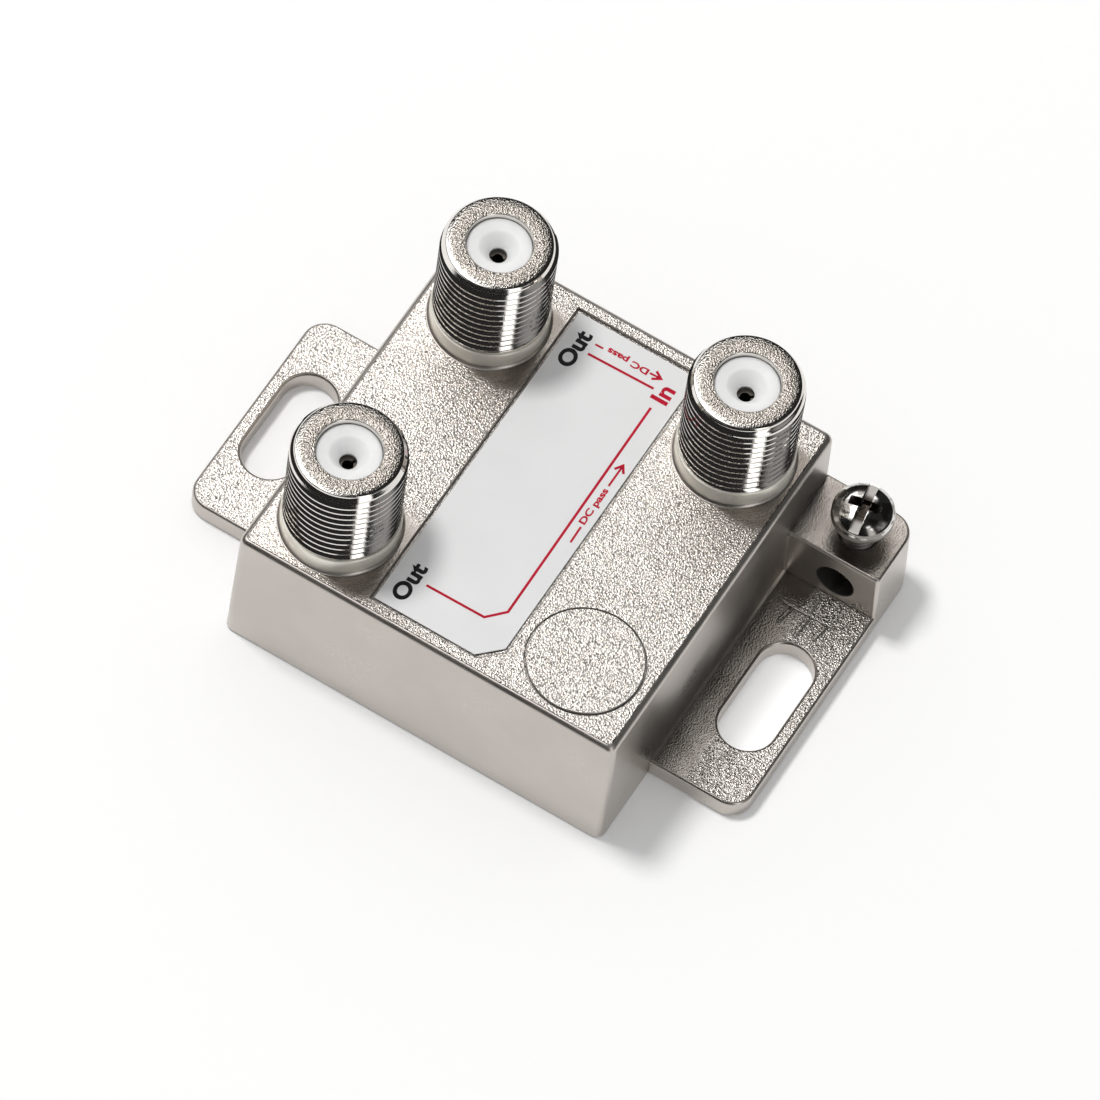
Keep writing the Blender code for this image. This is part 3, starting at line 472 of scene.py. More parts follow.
def makeNickel(name, look, hole=None, lees=(), earLee=None, collarFrom=None):
    # Sparkling blasted tops over smooth drawn walls. The inside of a hole along Y, given by its x, z and
    # radius, is painted dark as shade, like the creases and gaps.
    # The blast came from the back left, so the lee of each port and of the box wall stayed smoother; there
    # the tops carry a painted dark reflection of the port or wall. The port collars carry a painted sheen.
    material, tree, shader, place = newFinish(name, look["wallColour"], look["wallRoughness"], 1.0)
    coarse = placeGroup(tree, grainGroup, vector=place, grainSize=look["topGrain"], cloudSize=look["topCloud"])
    fine = placeGroup(tree, grainGroup, vector=place, grainSize=look["wallGrain"], cloudSize=look["wallCloud"])
    top = placeGroup(tree, facingGroup)["Mask"]
    parts = vectorParts(tree, place)
    leeReflection = leeReflectionMask(tree, look, place, parts, lees, earLee) if lees else None
    wear = placeGroup(tree, wearGroup, radius=look["edgeRadius"], breakUp=coarse["Speck"])["Wear"]
    wear = product(tree, wear, look["edgeShare"])
    # painted shade: darker, rougher and less metallic in creases, gaps and the wire hole
    paintedShade = product(tree, placeGroup(tree, creviceShadeGroup, distance=look["dirtReach"])["Mask"], look["dirtShare"])
    if hole:
        paintedShade = mathNode(tree, "MAXIMUM", paintedShade, holeMask(tree, look, parts, hole))

    wall = mixColour(tree, product(tree, fine["Cloud"], look["wallPatch"]), opaque(look["wallColour"]),
                     opaque(look["wallColour"], look["wallDarker"]))
    speck = product(tree, mathNode(tree, "SUBTRACT", 1.0, coarse["Speck"]), look["speckShare"])
    if leeReflection:
        speck = product(tree, speck, mathNode(tree, "MULTIPLY_ADD", leeReflection, look["leeSpeck"], 1.0))
    # painted light: the tops are lighter towards the left, the side the light comes from
    litLeft = mapRange(tree, parts["X"], *[x * mm for x in look["leftFade"]], 1.0, 0.0)
    bright = mixColour(tree, litLeft, opaque(look["topColour"]), opaque(look["leftColour"]))
    plated = mixColour(tree, top, wall, mixColour(tree, speck, bright, opaque(look["speckColour"])))
    if leeReflection:
        patchy = mathNode(tree, "MULTIPLY_ADD", coarse["Cloud"], *look["leePatch"])
        # painted reflection: the tops beside each port and the box wall are painted dark brown
        plated = mixColour(tree, product(tree, leeReflection, top, patchy), plated, opaque(look["leeColour"]))
    # painted sheen: the port collars are coloured cream and made less metallic to stand in for a bright reflection
    if collarFrom:
        collarSheen = mapRange(tree, parts["Z"], collarFrom * mm, (collarFrom + look["collarFade"]) * mm)
        plated = mixColour(tree, collarSheen, plated, opaque(look["collarColour"]))
    # edge wear and painted highlight: sharp outer and inner edges are lighter and less metallic, standing in for
    # bright edge lines
    wornAndHighlit = mixColour(tree, wear, plated, opaque(look["edgeColour"]))
    tree.links.new(mixColour(tree, paintedShade, wornAndHighlit, opaque(look["dirtColour"])), shader.inputs["Base Color"])

    wallRough = mathNode(tree, "MULTIPLY_ADD", fine["Cloud"], look["wallSpread"], look["wallRoughness"])
    topRough = mathNode(tree, "MULTIPLY_ADD", coarse["Cloud"], look["topSpread"], look["topRoughness"])
    rough = mixValue(tree, top, wallRough, topRough)
    tree.links.new(mathNode(tree, "MULTIPLY_ADD", paintedShade, look["dirtRough"], rough), shader.inputs["Roughness"])

    metal = mathNode(tree, "MULTIPLY_ADD", top, look["milk"], 1.0 - look["milk"])
    metal = mathNode(tree, "SUBTRACT", metal, product(tree, wear, look["edgeBare"]), clamp=True)
    if collarFrom:
        metal = mathNode(tree, "SUBTRACT", metal, product(tree, collarSheen, look["collarBare"]), clamp=True)
    metal = mathNode(tree, "SUBTRACT", metal, product(tree, paintedShade, look["dirtBare"]), clamp=True)
    tree.links.new(metal, shader.inputs["Metallic"])

    smooth = product(tree, fine["Height"], look["wallDepth"] / look["topDepth"])
    blasted = coarse["Height"]
    if leeReflection:
        blasted = mixValue(tree, product(tree, leeReflection, look["leeShare"]), blasted, look["leeLevel"])
    addBump(tree, shader, mixValue(tree, top, smooth, blasted), look["topDepth"])
    return material


def makeGrained(name, colour, roughness, metallic=0.0, grainSize=0.3, cloudSize=2.0, depth=0.004, darker=0.8,
                patch=0.8, spread=0.12, wearColour=None, wearShare=0.4, wearRadius=0.06, bands=None):
    # A plain finish with its own grain, cloudy colour and roughness, and worn edges. Sizes are in mm.
    material, tree, shader, place = newFinish(name, colour, roughness, metallic)
    grain = placeGroup(tree, grainGroup, vector=place, grainSize=grainSize, cloudSize=cloudSize)
    base = mixColour(tree, product(tree, grain["Cloud"], patch), opaque(colour), opaque(colour, darker))
    if bands:
        base = bands(tree, place, shader, base)
    if wearColour:
        wear = placeGroup(tree, wearGroup, radius=wearRadius * mm, breakUp=grain["Speck"])["Wear"]
        base = mixColour(tree, product(tree, wear, wearShare), base, opaque(wearColour))
    tree.links.new(base, shader.inputs["Base Color"])
    if not shader.inputs["Roughness"].is_linked:
        cloudy = mathNode(tree, "MULTIPLY_ADD", grain["Cloud"], spread, roughness)
        tree.links.new(cloudy, shader.inputs["Roughness"])
    addBump(tree, shader, grain["Height"], depth * mm)
    return material


castNickel = makeNickel("castNickel", castFinish, hole=(22.25, 4.3, 1.7), lees=leeReflectionZones["ports"],
                        earLee=leeReflectionZones["ear"], collarFrom=14.05)
threadNickel = makeNickel("threadNickel", threadFinish)
labelFilm = makeGrained("labelFilm", (0.785, 0.785, 0.79), 0.38, grainSize=0.35, cloudSize=6.0, depth=0.002,
                        darker=0.965, spread=0.08)
redInk = makeGrained("redInk", (0.50, 0.010, 0.035), 0.5, grainSize=0.2, cloudSize=1.5, depth=0.001, darker=0.85)
blackInk = makeGrained("blackInk", (0.008, 0.008, 0.009), 0.5, grainSize=0.2, cloudSize=1.5, depth=0.001)
whitePlastic = makeGrained("whitePlastic", (0.93, 0.93, 0.93), 0.42, grainSize=0.3, cloudSize=1.8, depth=0.002,
                           darker=0.95, spread=0.10)
for finish, socketName, value in (
        (whitePlastic, "Subsurface Weight", 0.6), (whitePlastic, "Subsurface Scale", 1.2 * mm),
        (whitePlastic, "Subsurface Radius", (1.0, 1.0, 1.0)),
        (redInk, "Specular IOR Level", 0.15), (blackInk, "Specular IOR Level", 0.15)):
    finish.node_tree.nodes["Principled BSDF"].inputs[socketName].default_value = value
print("finishes made")


# housing casting
housing = {
    "boxSide": 35.5, "boxHeight": 13.9, "draftDegrees": 1.4, "cornerRadius": 0.9, "topEdge": 0.6, "footEdge": 0.16,
    "cavitySide": 31.5, "rebateSide": 32.9, "rebateTop": 1.0, "shoulderSide": 29.9, "shoulder": 10.9,
    "ceiling": 11.9,
    "earTip": 26.25, "earThickness": 1.95, "earLength": 20.6, "earCorner": 2.0, "earEdge": 0.3,
    "slotWidth": 4.8, "slotLength": 10.7, "slotX": 22.55, "slotEdge": 0.28, "footFillet": 0.4,
    "blockFront": 10.9, "blockBack": 17.4, "blockHeight": 7.75, "blockLean": 0.3, "blockCorner": 2.0,
    "blockEdge": 0.25, "blockFrontCorner": 0.35, "blockFillet": 0.35,
    "wireHole": 3.4, "wireHoleZ": 4.3, "holeEdge": 0.12, "screwX": 22.25, "screwY": 14.15,
    "screwHole": 3.2, "screwMouth": 3.6, "screwHoleFloor": 1.2, "holeFacets": 64,
    "padRadius": 4.75, "padHeight": 0.13, "padEdge": 0.07, "grooveWidth": 0.17, "grooveDepth": 0.13,
    "grooveLean": 0.08, "rebateCorner": 0.8, "cavityCorner": 0.6,
    "root": 0.8,    # how far an added form starts inside the box
    "past": 1.0,    # how far a cutter reaches past the metal
    "bite": 0.3, "wallBite": 0.4,   # how far a fillet reaches into what it joins
}
ports = {"outputA": (-11.5, 11.4), "outputB": (-11.5, -11.4), "input": (11.5, 11.4)}
blankPlace = (11.35, -11.55)   # the pad in the place of a fourth port
port = {
    "top": 25.15, "collarRadius": 4.9, "collarTop": 15.8, "collarFillet": 0.3, "collarEdge": 0.12,
    "crest": 4.7625, "threadRoot": 4.33, "pitch": 0.794, "threadBottom": 15.6, "chamferWidth": 0.46,
    "chamferHeight": 0.70, "rimEdge": 0.07, "mouth": 2.7, "mouthEdge": 0.07, "lip": 1.2, "bore": 3.3,
    "facets": 96, "rowsPerTurn": 10, "runOut": 0.5,
}
label = {
    "centreX": -0.1, "width": 11.1, "length": 31.6, "cutCorner": 1.8, "margin": 0.25, "bottom": 13.64,
    "top": 13.76, "footSoft": 0.03, "topSoft": 0.02, "pocketFloor": 13.58, "pocketEdge": 0.1,
}
earthMark = {
    "strokes": (((19.2, 8.3), (24.0, 8.45)), ((21.5, 8.4), (21.5, 10.1)), ((20.1, 8.2), (19.8, 6.4)),
                ((21.75, 8.25), (21.6, 6.3)), ((23.3, 8.3), (23.0, 6.5))),
    "width": 0.40, "rise": 0.18, "stagger": 0.004, "sunk": 0.2, "corner": 0.1,
    "edge": ((0, 0.07), (0.02, 0.02), (0.07, 0)),   # inset and drop of its rounded top edge
}


def boxSection(inset):
    half = housing["boxSide"] / 2 - inset
    radius = max(housing["cornerRadius"] - inset / 2, housing["cornerRadius"] / 2)
    return roundedOutline((-half, -half), (half, half), [radius] * 4)


def wallAt(z):
    return housing["boxSide"] / 2 - z * math.tan(math.radians(housing["draftDegrees"]))


def labelOutline(grow):
    lowX = label["centreX"] - label["width"] / 2 - grow
    highX = label["centreX"] + label["width"] / 2 + grow
    halfY = label["length"] / 2 + grow
    cut = label["cutCorner"]
    return [(lowX, -halfY), (highX - cut, -halfY), (highX, -halfY + cut), (highX, halfY), (lowX, halfY)]


def boxBlock():
    edge = housing["footEdge"]
    sections = [(boxSection(inset), drop) for inset, drop in reversed(list(quarterRound(edge, 2)))]
    for inset, drop in quarterRound(housing["topEdge"], 7):
        z = housing["boxHeight"] - drop
        sections.append((boxSection(housing["boxSide"] / 2 - wallAt(z) + inset), z))
    return stacked(sections)


def earPlate(side, backY, backRadius):
    h = housing
    rootX = h["boxSide"] / 2 - h["root"]
    levels = [(inset, drop) for inset, drop in reversed(list(quarterRound(h["footEdge"], 2)))]
    levels += [(inset, h["earThickness"] - drop) for inset, drop in quarterRound(h["earEdge"], 5)]
    sections = []
    for inset, z in levels:
        outline = roundedOutline(
            (rootX, -h["earLength"] / 2 + inset), (h["earTip"] - inset, backY - inset),
            [0, h["earCorner"] - inset, max(backRadius - inset, 0), 0], steps=10)
        sections.append(([(side * x, y) for x, y in outline], z))
    return stacked(sections)


def clampBlock():
    h = housing
    rootX = h["boxSide"] / 2 - h["root"]
    rise = h["blockHeight"] - h["earThickness"]
    levels = [(h["footEdge"], 0), (0, h["footEdge"]), (0, h["earThickness"])]
    levels += [(inset, h["blockHeight"] - drop) for inset, drop in quarterRound(h["blockEdge"], 5)]
    sections = []
    for inset, z in levels:
        lean = h["blockLean"] * max(z - h["earThickness"], 0) / rise
        sections.append((roundedOutline(
            (rootX, h["blockFront"] + inset), (h["earTip"] - lean - inset, h["blockBack"] - inset),
            [0, h["blockFrontCorner"], h["blockCorner"] - inset, 0], steps=10), z))
    return stacked(sections)


def footFillet(side, fromY, toY):
    # cast fillet where an ear meets the box wall
    h = housing
    radius = h["footFillet"]
    top = h["earThickness"]
    wall = wallAt(top + radius)
    deep = wall - h["wallBite"]
    profile = [(deep, top - h["bite"]), (wall + radius, top - h["bite"])]
    profile += arcPoints(wall + radius, top + radius, radius, 270, -90, 6)
    profile.append((deep, top + radius))
    return loft([[(side * x, y, z) for x, z in profile] for y in (fromY, toY)])


def blockFillet():
    # upright cast fillet where the block's front meets the box
    h = housing
    radius = h["blockFillet"]
    front = h["blockFront"]
    bite = h["bite"]
    sections = []
    for z in (h["earThickness"] - bite, h["blockHeight"] - h["blockEdge"]):
        wall = wallAt(z)
        outline = [(wall - bite, front + bite), (wall - bite, front - radius)]
        outline += arcPoints(wall + radius, front - radius, radius, 180, -90, 5)
        outline.append((wall + radius, front + bite))
        sections.append((outline, z))
    return stacked(sections)


def padGroove():
    h = housing
    top = h["boxHeight"]
    inner = h["padRadius"] - 0.01   # the pad is added after the cut and fills this again
    outer = h["padRadius"] + h["grooveWidth"]
    floor = top - h["grooveDepth"]
    profile = [(inner, floor), (outer - h["grooveLean"], floor), (outer, top + 0.001), (outer, top + 0.5),
               (inner, top + 0.5)]
    return turned(profile, port["facets"], closed=True)


def portCollar():
    p = port
    top = housing["boxHeight"]
    fillet = p["collarFillet"]
    foot = p["collarRadius"] + fillet
    profile = [(0, top - housing["root"]), (foot, top - housing["root"])]
    profile += arcPoints(foot, top + fillet, fillet, 270, -90, 5)
    profile += [(p["collarRadius"] - inset, p["collarTop"] - drop)
                for inset, drop in quarterRound(p["collarEdge"], 3)]
    profile.append((0, p["collarTop"]))
    return turned(profile, p["facets"])


def blankPad():
    top = housing["boxHeight"]
    radius = housing["padRadius"]
    profile = [(0, top - housing["root"]), (radius, top - housing["root"])]
    profile += [(radius - inset, top + housing["padHeight"] - drop)
                for inset, drop in quarterRound(housing["padEdge"], 3)]
    profile.append((0, top + housing["padHeight"]))
    return turned(profile, port["facets"])


def markStroke(start, end, rise):
    # one raised bar; each is a touch higher than the last, so that no two tops share a plane
    along = Vector(end) - Vector(start)
    reach = along.length / 2
    half = earthMark["width"] / 2
    high = housing["earThickness"] + rise
    levels = [(0, housing["earThickness"] - earthMark["sunk"])]
    levels += [(inset, high - drop) for inset, drop in earthMark["edge"]]
    radii = [earthMark["corner"]] * 4
    bar = stacked([(roundedOutline((-reach + i, -half + i), (reach - i, half - i), radii, steps=3), z)
                   for i, z in levels])
    swung(bar, "Z", math.degrees(math.atan2(along.y, along.x)))
    return shifted(bar, *((Vector(start) + Vector(end)) / 2))


def plainPrism(side, low, high, radius):
    outline = roundedOutline((-side / 2, -side / 2), (side / 2, side / 2), [radius] * 4)
    return stacked([(outline, low), (outline, high)])


def slotCutter():
    h = housing
    edge = h["slotEdge"]
    width = h["slotWidth"]
    length = h["slotLength"]
    levels = [(edge / 2, -h["past"]), (edge / 2, 0), (edge / 4, edge / 4), (0, edge / 2)]
    levels += [(grow, h["earThickness"] - drop) for grow, drop in quarterRound(edge, 5)]
    levels.append((edge, h["earThickness"] + h["past"]))
    return stacked([(stadiumOutline(width + 2 * grow, length + 2 * grow), z) for grow, z in levels])


def pocketCutter():
    top = housing["boxHeight"]
    edge = label["pocketEdge"]
    levels = [(0, label["pocketFloor"])]
    levels += [(grow, top - drop) for grow, drop in quarterRound(edge, 4)]
    levels.append((edge, top + housing["past"]))
    return stacked([(labelOutline(label["margin"] + grow), z) for grow, z in levels])


def wireHoleCutter():
    h = housing
    radius = h["wireHole"] / 2
    front = (h["blockBack"] - h["blockFront"]) / 2
    edge = h["holeEdge"]
    half = [(radius, front - edge), (radius + edge / 4, front - edge / 4), (radius + edge, front),
            (radius + edge, front + h["past"]), (0, front + h["past"])]
    return swung(turned([(r, -z) for r, z in reversed(half)] + half, h["holeFacets"]), "X", 90)


def screwHoleCutter():
    h = housing
    radius = h["screwHole"] / 2
    mouth = h["screwMouth"] / 2
    top = h["blockHeight"]
    profile = [(0, h["screwHoleFloor"]), (radius, h["screwHoleFloor"]), (radius, top - (mouth - radius)),
               (mouth, top), (mouth, top + h["past"]), (0, top + h["past"])]
    return turned(profile, h["holeFacets"])


def makeHousing():
    h = housing
    body = toObject("castBody", boxBlock())
    earBack = h["blockFront"] + h["blockCorner"]
    added = [
        toObject("leftEar", earPlate(-1, h["earLength"] / 2, h["earCorner"])),
        toObject("rightEar", earPlate(1, earBack, 0)),
        toObject("block", clampBlock()),
        toObject("leftFillet", footFillet(-1, -h["earLength"] / 2 + h["bite"], h["earLength"] / 2 - h["bite"])),
        toObject("rightFillet", footFillet(1, -h["earLength"] / 2 + h["bite"], h["blockFront"] + h["bite"])),
        toObject("blockFoot", blockFillet()),
    ]
    for name in ports:
        added.append(toObject(name + "Collar", shifted(portCollar(), *ports[name])))
    for index, (start, end) in enumerate(earthMark["strokes"]):
        rise = earthMark["rise"] + index * earthMark["stagger"]
        added.append(toObject(f"mark{index}", markStroke(start, end, rise)))
    combine(body, "UNION", added)
    cut = [
        toObject("rebate", plainPrism(h["rebateSide"], -h["past"], h["rebateTop"], h["rebateCorner"])),
        toObject("cavity", plainPrism(h["cavitySide"], -h["past"], h["shoulder"], h["cavityCorner"])),
        toObject("headroom", plainPrism(h["shoulderSide"], h["rebateTop"], h["ceiling"], h["cavityCorner"])),
        toObject("pocket", pocketCutter()),
        toObject("groove", shifted(padGroove(), *blankPlace)),
        toObject("leftSlot", shifted(slotCutter(), -h["slotX"])),
        toObject("rightSlot", shifted(slotCutter(), h["slotX"])),
        toObject("wireHole", shifted(wireHoleCutter(), h["screwX"], h["screwY"], h["wireHoleZ"])),
        toObject("screwHole", shifted(screwHoleCutter(), h["screwX"], h["screwY"])),
    ]
    boreProfile = [(0, h["shoulder"] - 0.5), (port["bore"], h["shoulder"] - 0.5),
                   (port["bore"], port["collarTop"] + h["past"]), (0, port["collarTop"] + h["past"])]
    for name in ports:
        cut.append(toObject(name + "Bore", shifted(turned(boreProfile, port["facets"]), *ports[name])))
    combine(body, "DIFFERENCE", cut)
    combine(body, "UNION", [toObject("pad", shifted(blankPad(), *blankPlace))])
    return finishPiece(body, castNickel, "tap_body", ["housing"])


castBody = makeHousing()
print("casting made:", len(castBody.data.polygons), "faces")


# threads
threadWeld = 0.0004   # mm, closes the seam of the wound grid
rimWeld = 0.0008      # mm, joins a thread to its rim


def makeThreadTree():
    # a skewed grid wound round the axis, so that its rows follow the thread
    tree, given, out = newGroup(
        "helicalThread", "GeometryNodeTree",
        (("Facets", "Int", 96), ("Rows Per Turn", "Int", 12), ("Pitch", "Float", 0.8),
         ("Crest Radius", "Float", 4.8), ("Root Radius", "Float", 4.3), ("Bottom", "Float", 0.0),
         ("Top", "Float", 10.0), ("Chamfer Width", "Float", 0.4), ("Chamfer Height", "Float", 0.6),
         ("Run Out", "Float", 0.5), ("Crest Flat", "Float", 0.2), ("Root Flat", "Float", 0.12),
         ("Material", "Material", None)),
        (("Geometry", "Geometry"),))

    def m(operation, *values, **options):
        return mathNode(tree, operation, *values, **options)

    height = m("SUBTRACT", given["Top"], given["Bottom"])
    turns = m("CEIL", m("ADD", m("DIVIDE", height, given["Pitch"]), 1.0))
    rows = m("MULTIPLY", turns, given["Rows Per Turn"])
    grid = tree.nodes.new("GeometryNodeMeshGrid")
    grid.inputs["Size X"].default_value = 1.0
    grid.inputs["Size Y"].default_value = 1.0
    tree.links.new(m("ADD", given["Facets"], 1.0), grid.inputs["Vertices X"])
    tree.links.new(m("ADD", rows, 1.0), grid.inputs["Vertices Y"])
    spot = tree.nodes.new("ShaderNodeSeparateXYZ")
    tree.links.new(tree.nodes.new("GeometryNodeInputPosition").outputs[0], spot.inputs[0])
    around = m("ADD", spot.outputs["X"], 0.5)
    turn = m("MULTIPLY", m("ADD", spot.outputs["Y"], 0.5), turns)
    climb = m("MULTIPLY", m("ADD", m("ADD", around, turn), -1.0), given["Pitch"])
    z = m("MINIMUM", m("MAXIMUM", m("ADD", climb, given["Bottom"]), given["Bottom"]), given["Top"])
    phase = m("FRACT", m("ADD", turn, 0.0001))
    wave = m("ABSOLUTE", m("MULTIPLY_ADD", phase, 2.0, -1.0))
    ridge = mapRange(tree, wave, given["Root Flat"], m("SUBTRACT", 1.0, given["Crest Flat"]), smooth=False)
    fade = m("DIVIDE", m("SUBTRACT", z, given["Bottom"]), given["Run Out"], clamp=True)
    depth = m("MULTIPLY", m("SUBTRACT", given["Crest Radius"], given["Root Radius"]), fade)
    radius = m("SUBTRACT", given["Crest Radius"], m("MULTIPLY", depth, m("SUBTRACT", 1.0, ridge)))
    over = m("MAXIMUM", m("SUBTRACT", z, m("SUBTRACT", given["Top"], given["Chamfer Height"])), 0.0)
    cone = m("MULTIPLY", m("DIVIDE", over, given["Chamfer Height"]), given["Chamfer Width"])
    radius = m("MINIMUM", radius, m("SUBTRACT", given["Crest Radius"], cone))
    radius = m("MAXIMUM", radius, m("SUBTRACT", given["Crest Radius"], given["Chamfer Width"]))
    angle = m("MULTIPLY", around, math.tau)
    place = tree.nodes.new("ShaderNodeCombineXYZ")
    tree.links.new(m("MULTIPLY", radius, m("COSINE", angle)), place.inputs[0])
    tree.links.new(m("MULTIPLY", radius, m("SINE", angle)), place.inputs[1])
    tree.links.new(z, place.inputs[2])
    wound = tree.nodes.new("GeometryNodeSetPosition")
    tree.links.new(grid.outputs["Mesh"], wound.inputs["Geometry"])
    tree.links.new(place.outputs[0], wound.inputs["Position"])
    merged = tree.nodes.new("GeometryNodeMergeByDistance")
    merged.inputs["Distance"].default_value = threadWeld
    tree.links.new(wound.outputs[0], merged.inputs["Geometry"])
    realized = tree.nodes.new("GeometryNodeRealizeInstances")
    tree.links.new(merged.outputs[0], realized.inputs["Geometry"])
    painted = tree.nodes.new("GeometryNodeSetMaterial")
    tree.links.new(realized.outputs[0], painted.inputs["Geometry"])
    tree.links.new(given["Material"], painted.inputs["Material"])
    tree.links.new(painted.outputs[0], out["Geometry"])
    return tree


threadTree = makeThreadTree()


def threadMesh(name, material, **sizes):
    obj = bpy.data.objects.new(name, bpy.data.meshes.new(name))
    bpy.context.scene.collection.objects.link(obj)
    modifier = obj.modifiers.new("thread", "NODES")
    modifier.node_group = threadTree
    for item in threadTree.interface.items_tree:
        if item.in_out == "INPUT":
            key = camelKey(item.name)
            if key in sizes:
                modifier[item.identifier] = sizes[key]
            elif key == "material":
                modifier[item.identifier] = material
    settle(obj)
    bm = bmesh.new()
    bm.from_mesh(obj.data)
    bpy.data.objects.remove(obj)
    return bm


def joined(*parts):
    whole = bmesh.new()
    for part in parts:
        mesh = bpy.data.meshes.new("part")
        part.to_mesh(mesh)
        part.free()
        whole.from_mesh(mesh)
        bpy.data.meshes.remove(mesh)
    return whole


def makeBarrel(name, turnDegrees):
    p = port
    top = p["top"]
    edge = p["rimEdge"]
    slope = p["chamferWidth"] / p["chamferHeight"]
    chamfer = p["chamferHeight"] - edge
    rimRadius = p["crest"] - slope * chamfer
    thread = threadMesh(
        name + "Thread", threadNickel, facets=p["facets"], rowsPerTurn=p["rowsPerTurn"], pitch=p["pitch"],
        crestRadius=p["crest"], rootRadius=p["threadRoot"], bottom=p["threadBottom"], top=top - edge,
        chamferWidth=slope * chamfer, chamferHeight=chamfer, runOut=p["runOut"])
    profile = [(rimRadius, top - edge), (rimRadius - 0.3 * edge, top - 0.4 * edge), (rimRadius - edge, top)]
    profile += [(p["mouth"] + inset, top - drop)
                for inset, drop in reversed(list(quarterRound(p["mouthEdge"], 3)))]
    profile += [(p["mouth"], top - p["lip"]), (p["bore"], top - p["lip"]), (p["bore"], p["threadBottom"]),
                (p["crest"], p["threadBottom"])]
    rim = turned(profile, p["facets"])
    barrel = joined(thread, rim)
    bmesh.ops.remove_doubles(barrel, verts=barrel.verts, dist=rimWeld)
    swung(barrel, "Z", turnDegrees)
    obj = toObject(name + "Barrel", shifted(barrel, *ports[name]))
    return finishPiece(obj, threadNickel, "tap_body", creaseDegrees=40)


for name, startDegrees in (("outputA", 20), ("outputB", 145), ("input", 260)):
    makeBarrel(name, startDegrees)
print("threaded ports made")


# port bushes
bush = {
    "recess": 0.50, "mouth": 2.66, "edge": 0.12, "ring": 2.35, "ringDrop": 0.16, "ringLip": 0.12, "funnel": 1.62,
    "funnelDepth": 1.3, "funnelSteps": 12, "funnelCurve": 0.6, "pinHole": 0.72, "pinHoleEdge": 0.06,
    "pinHoleLength": 0.2, "barrel": 3.2, "contact": 1.0, "bottom": 10.9, "lipTop": 23.85, "facets": 72,
}


def makeBush(name, node):
    b = bush
    rim = port["top"] - b["recess"]
    edge = b["edge"]
    depth = rim - b["funnelDepth"]
    end = depth - b["pinHoleLength"]
    profile = [(b["contact"], b["bottom"]), (b["barrel"], b["bottom"]), (b["barrel"], b["lipTop"]),
               (b["mouth"], b["lipTop"]), (b["mouth"], rim - edge), (b["mouth"] - edge / 3, rim - edge / 4),
               (b["mouth"] - edge, rim), (b["ring"], rim), (b["funnel"] + b["ringLip"], rim - b["ringDrop"] * 0.8)]
    narrowing = b["pinHole"] + b["pinHoleEdge"] - b["funnel"]
    for step in range(b["funnelSteps"] + 1):
        share = step / b["funnelSteps"]
        ease = share ** 1.5 * b["funnelCurve"] + share * (1 - b["funnelCurve"])
        profile.append((b["funnel"] + narrowing * share,
                        rim - b["ringDrop"] - (b["funnelDepth"] - b["ringDrop"]) * ease))
    profile += [(b["pinHole"], depth - b["pinHoleEdge"]), (b["pinHole"], end), (b["contact"], end)]
    obj = toObject(name + "Bush", shifted(turned(profile, b["facets"], closed=True), *ports[name]))
    return finishPiece(obj, whitePlastic, "tap_body", [node])


for name, node in zip(ports, ("output_a_insulator", "output_b_insulator", "input_insulator")):
    makeBush(name, node)
print("port bushes made")


# earth screw
screw = {
    "x": 22.25, "y": 14.15, "seat": 10.2, "turnDegrees": 9.0, "facets": 80,
    "radius": 1.5, "rootRadius": 1.2, "pitch": 0.5, "rowsPerTurn": 10, "length": 6.0, "neck": 0.3, "runOut": 0.6,
    "tipChamfer": 0.38,
    "headRadius": 2.6, "headSide": 0.75, "headHeight": 2.0, "headSteps": 18,
    "headFoot": ((0.1, 0.001), (0.03, 0.04), (0, 0.12)),   # inset and height of the rounded lower edge
    "slotWidth": 0.90, "slotDepth": 0.85, "slotTaper": 0.94, "slotReach": 1.2, "slotTop": 1.4,
    "wingSpan": 3.1, "wellDepth": 1.25, "wingLow": (0.42, 0.72), "wingHigh": (1.08, 1.03), "wingCorner": 0.1,
    "coreWiden": 1.35, "coreCorner": 0.12, "coreDeeper": 0.12, "cutTop": 1.15,
    "softEdge": 0.035, "softDegrees": 38,
    "colour": (0.74, 0.725, 0.70), "hazeColour": (0.20, 0.185, 0.17), "hazeRange": (0.25, 0.6), "hazeShare": 0.85,
    "hazeGrain": 0.5, "hazeCloud": 1.0, "roughness": 0.07, "spread": 0.10,
    "recessColour": (0.36, 0.34, 0.32), "recessRoughness": 0.42, "recessFade": (0.05, 0.2),
    "grimeColour": (0.050, 0.040, 0.032), "grimeReach": (1.0, 1.55),
}


def domeZ(radius):
    s = screw
    rise = s["headHeight"] - s["headSide"]
    return s["headSide"] + rise * math.sqrt(max(0, 1 - (radius / s["headRadius"]) ** 2))


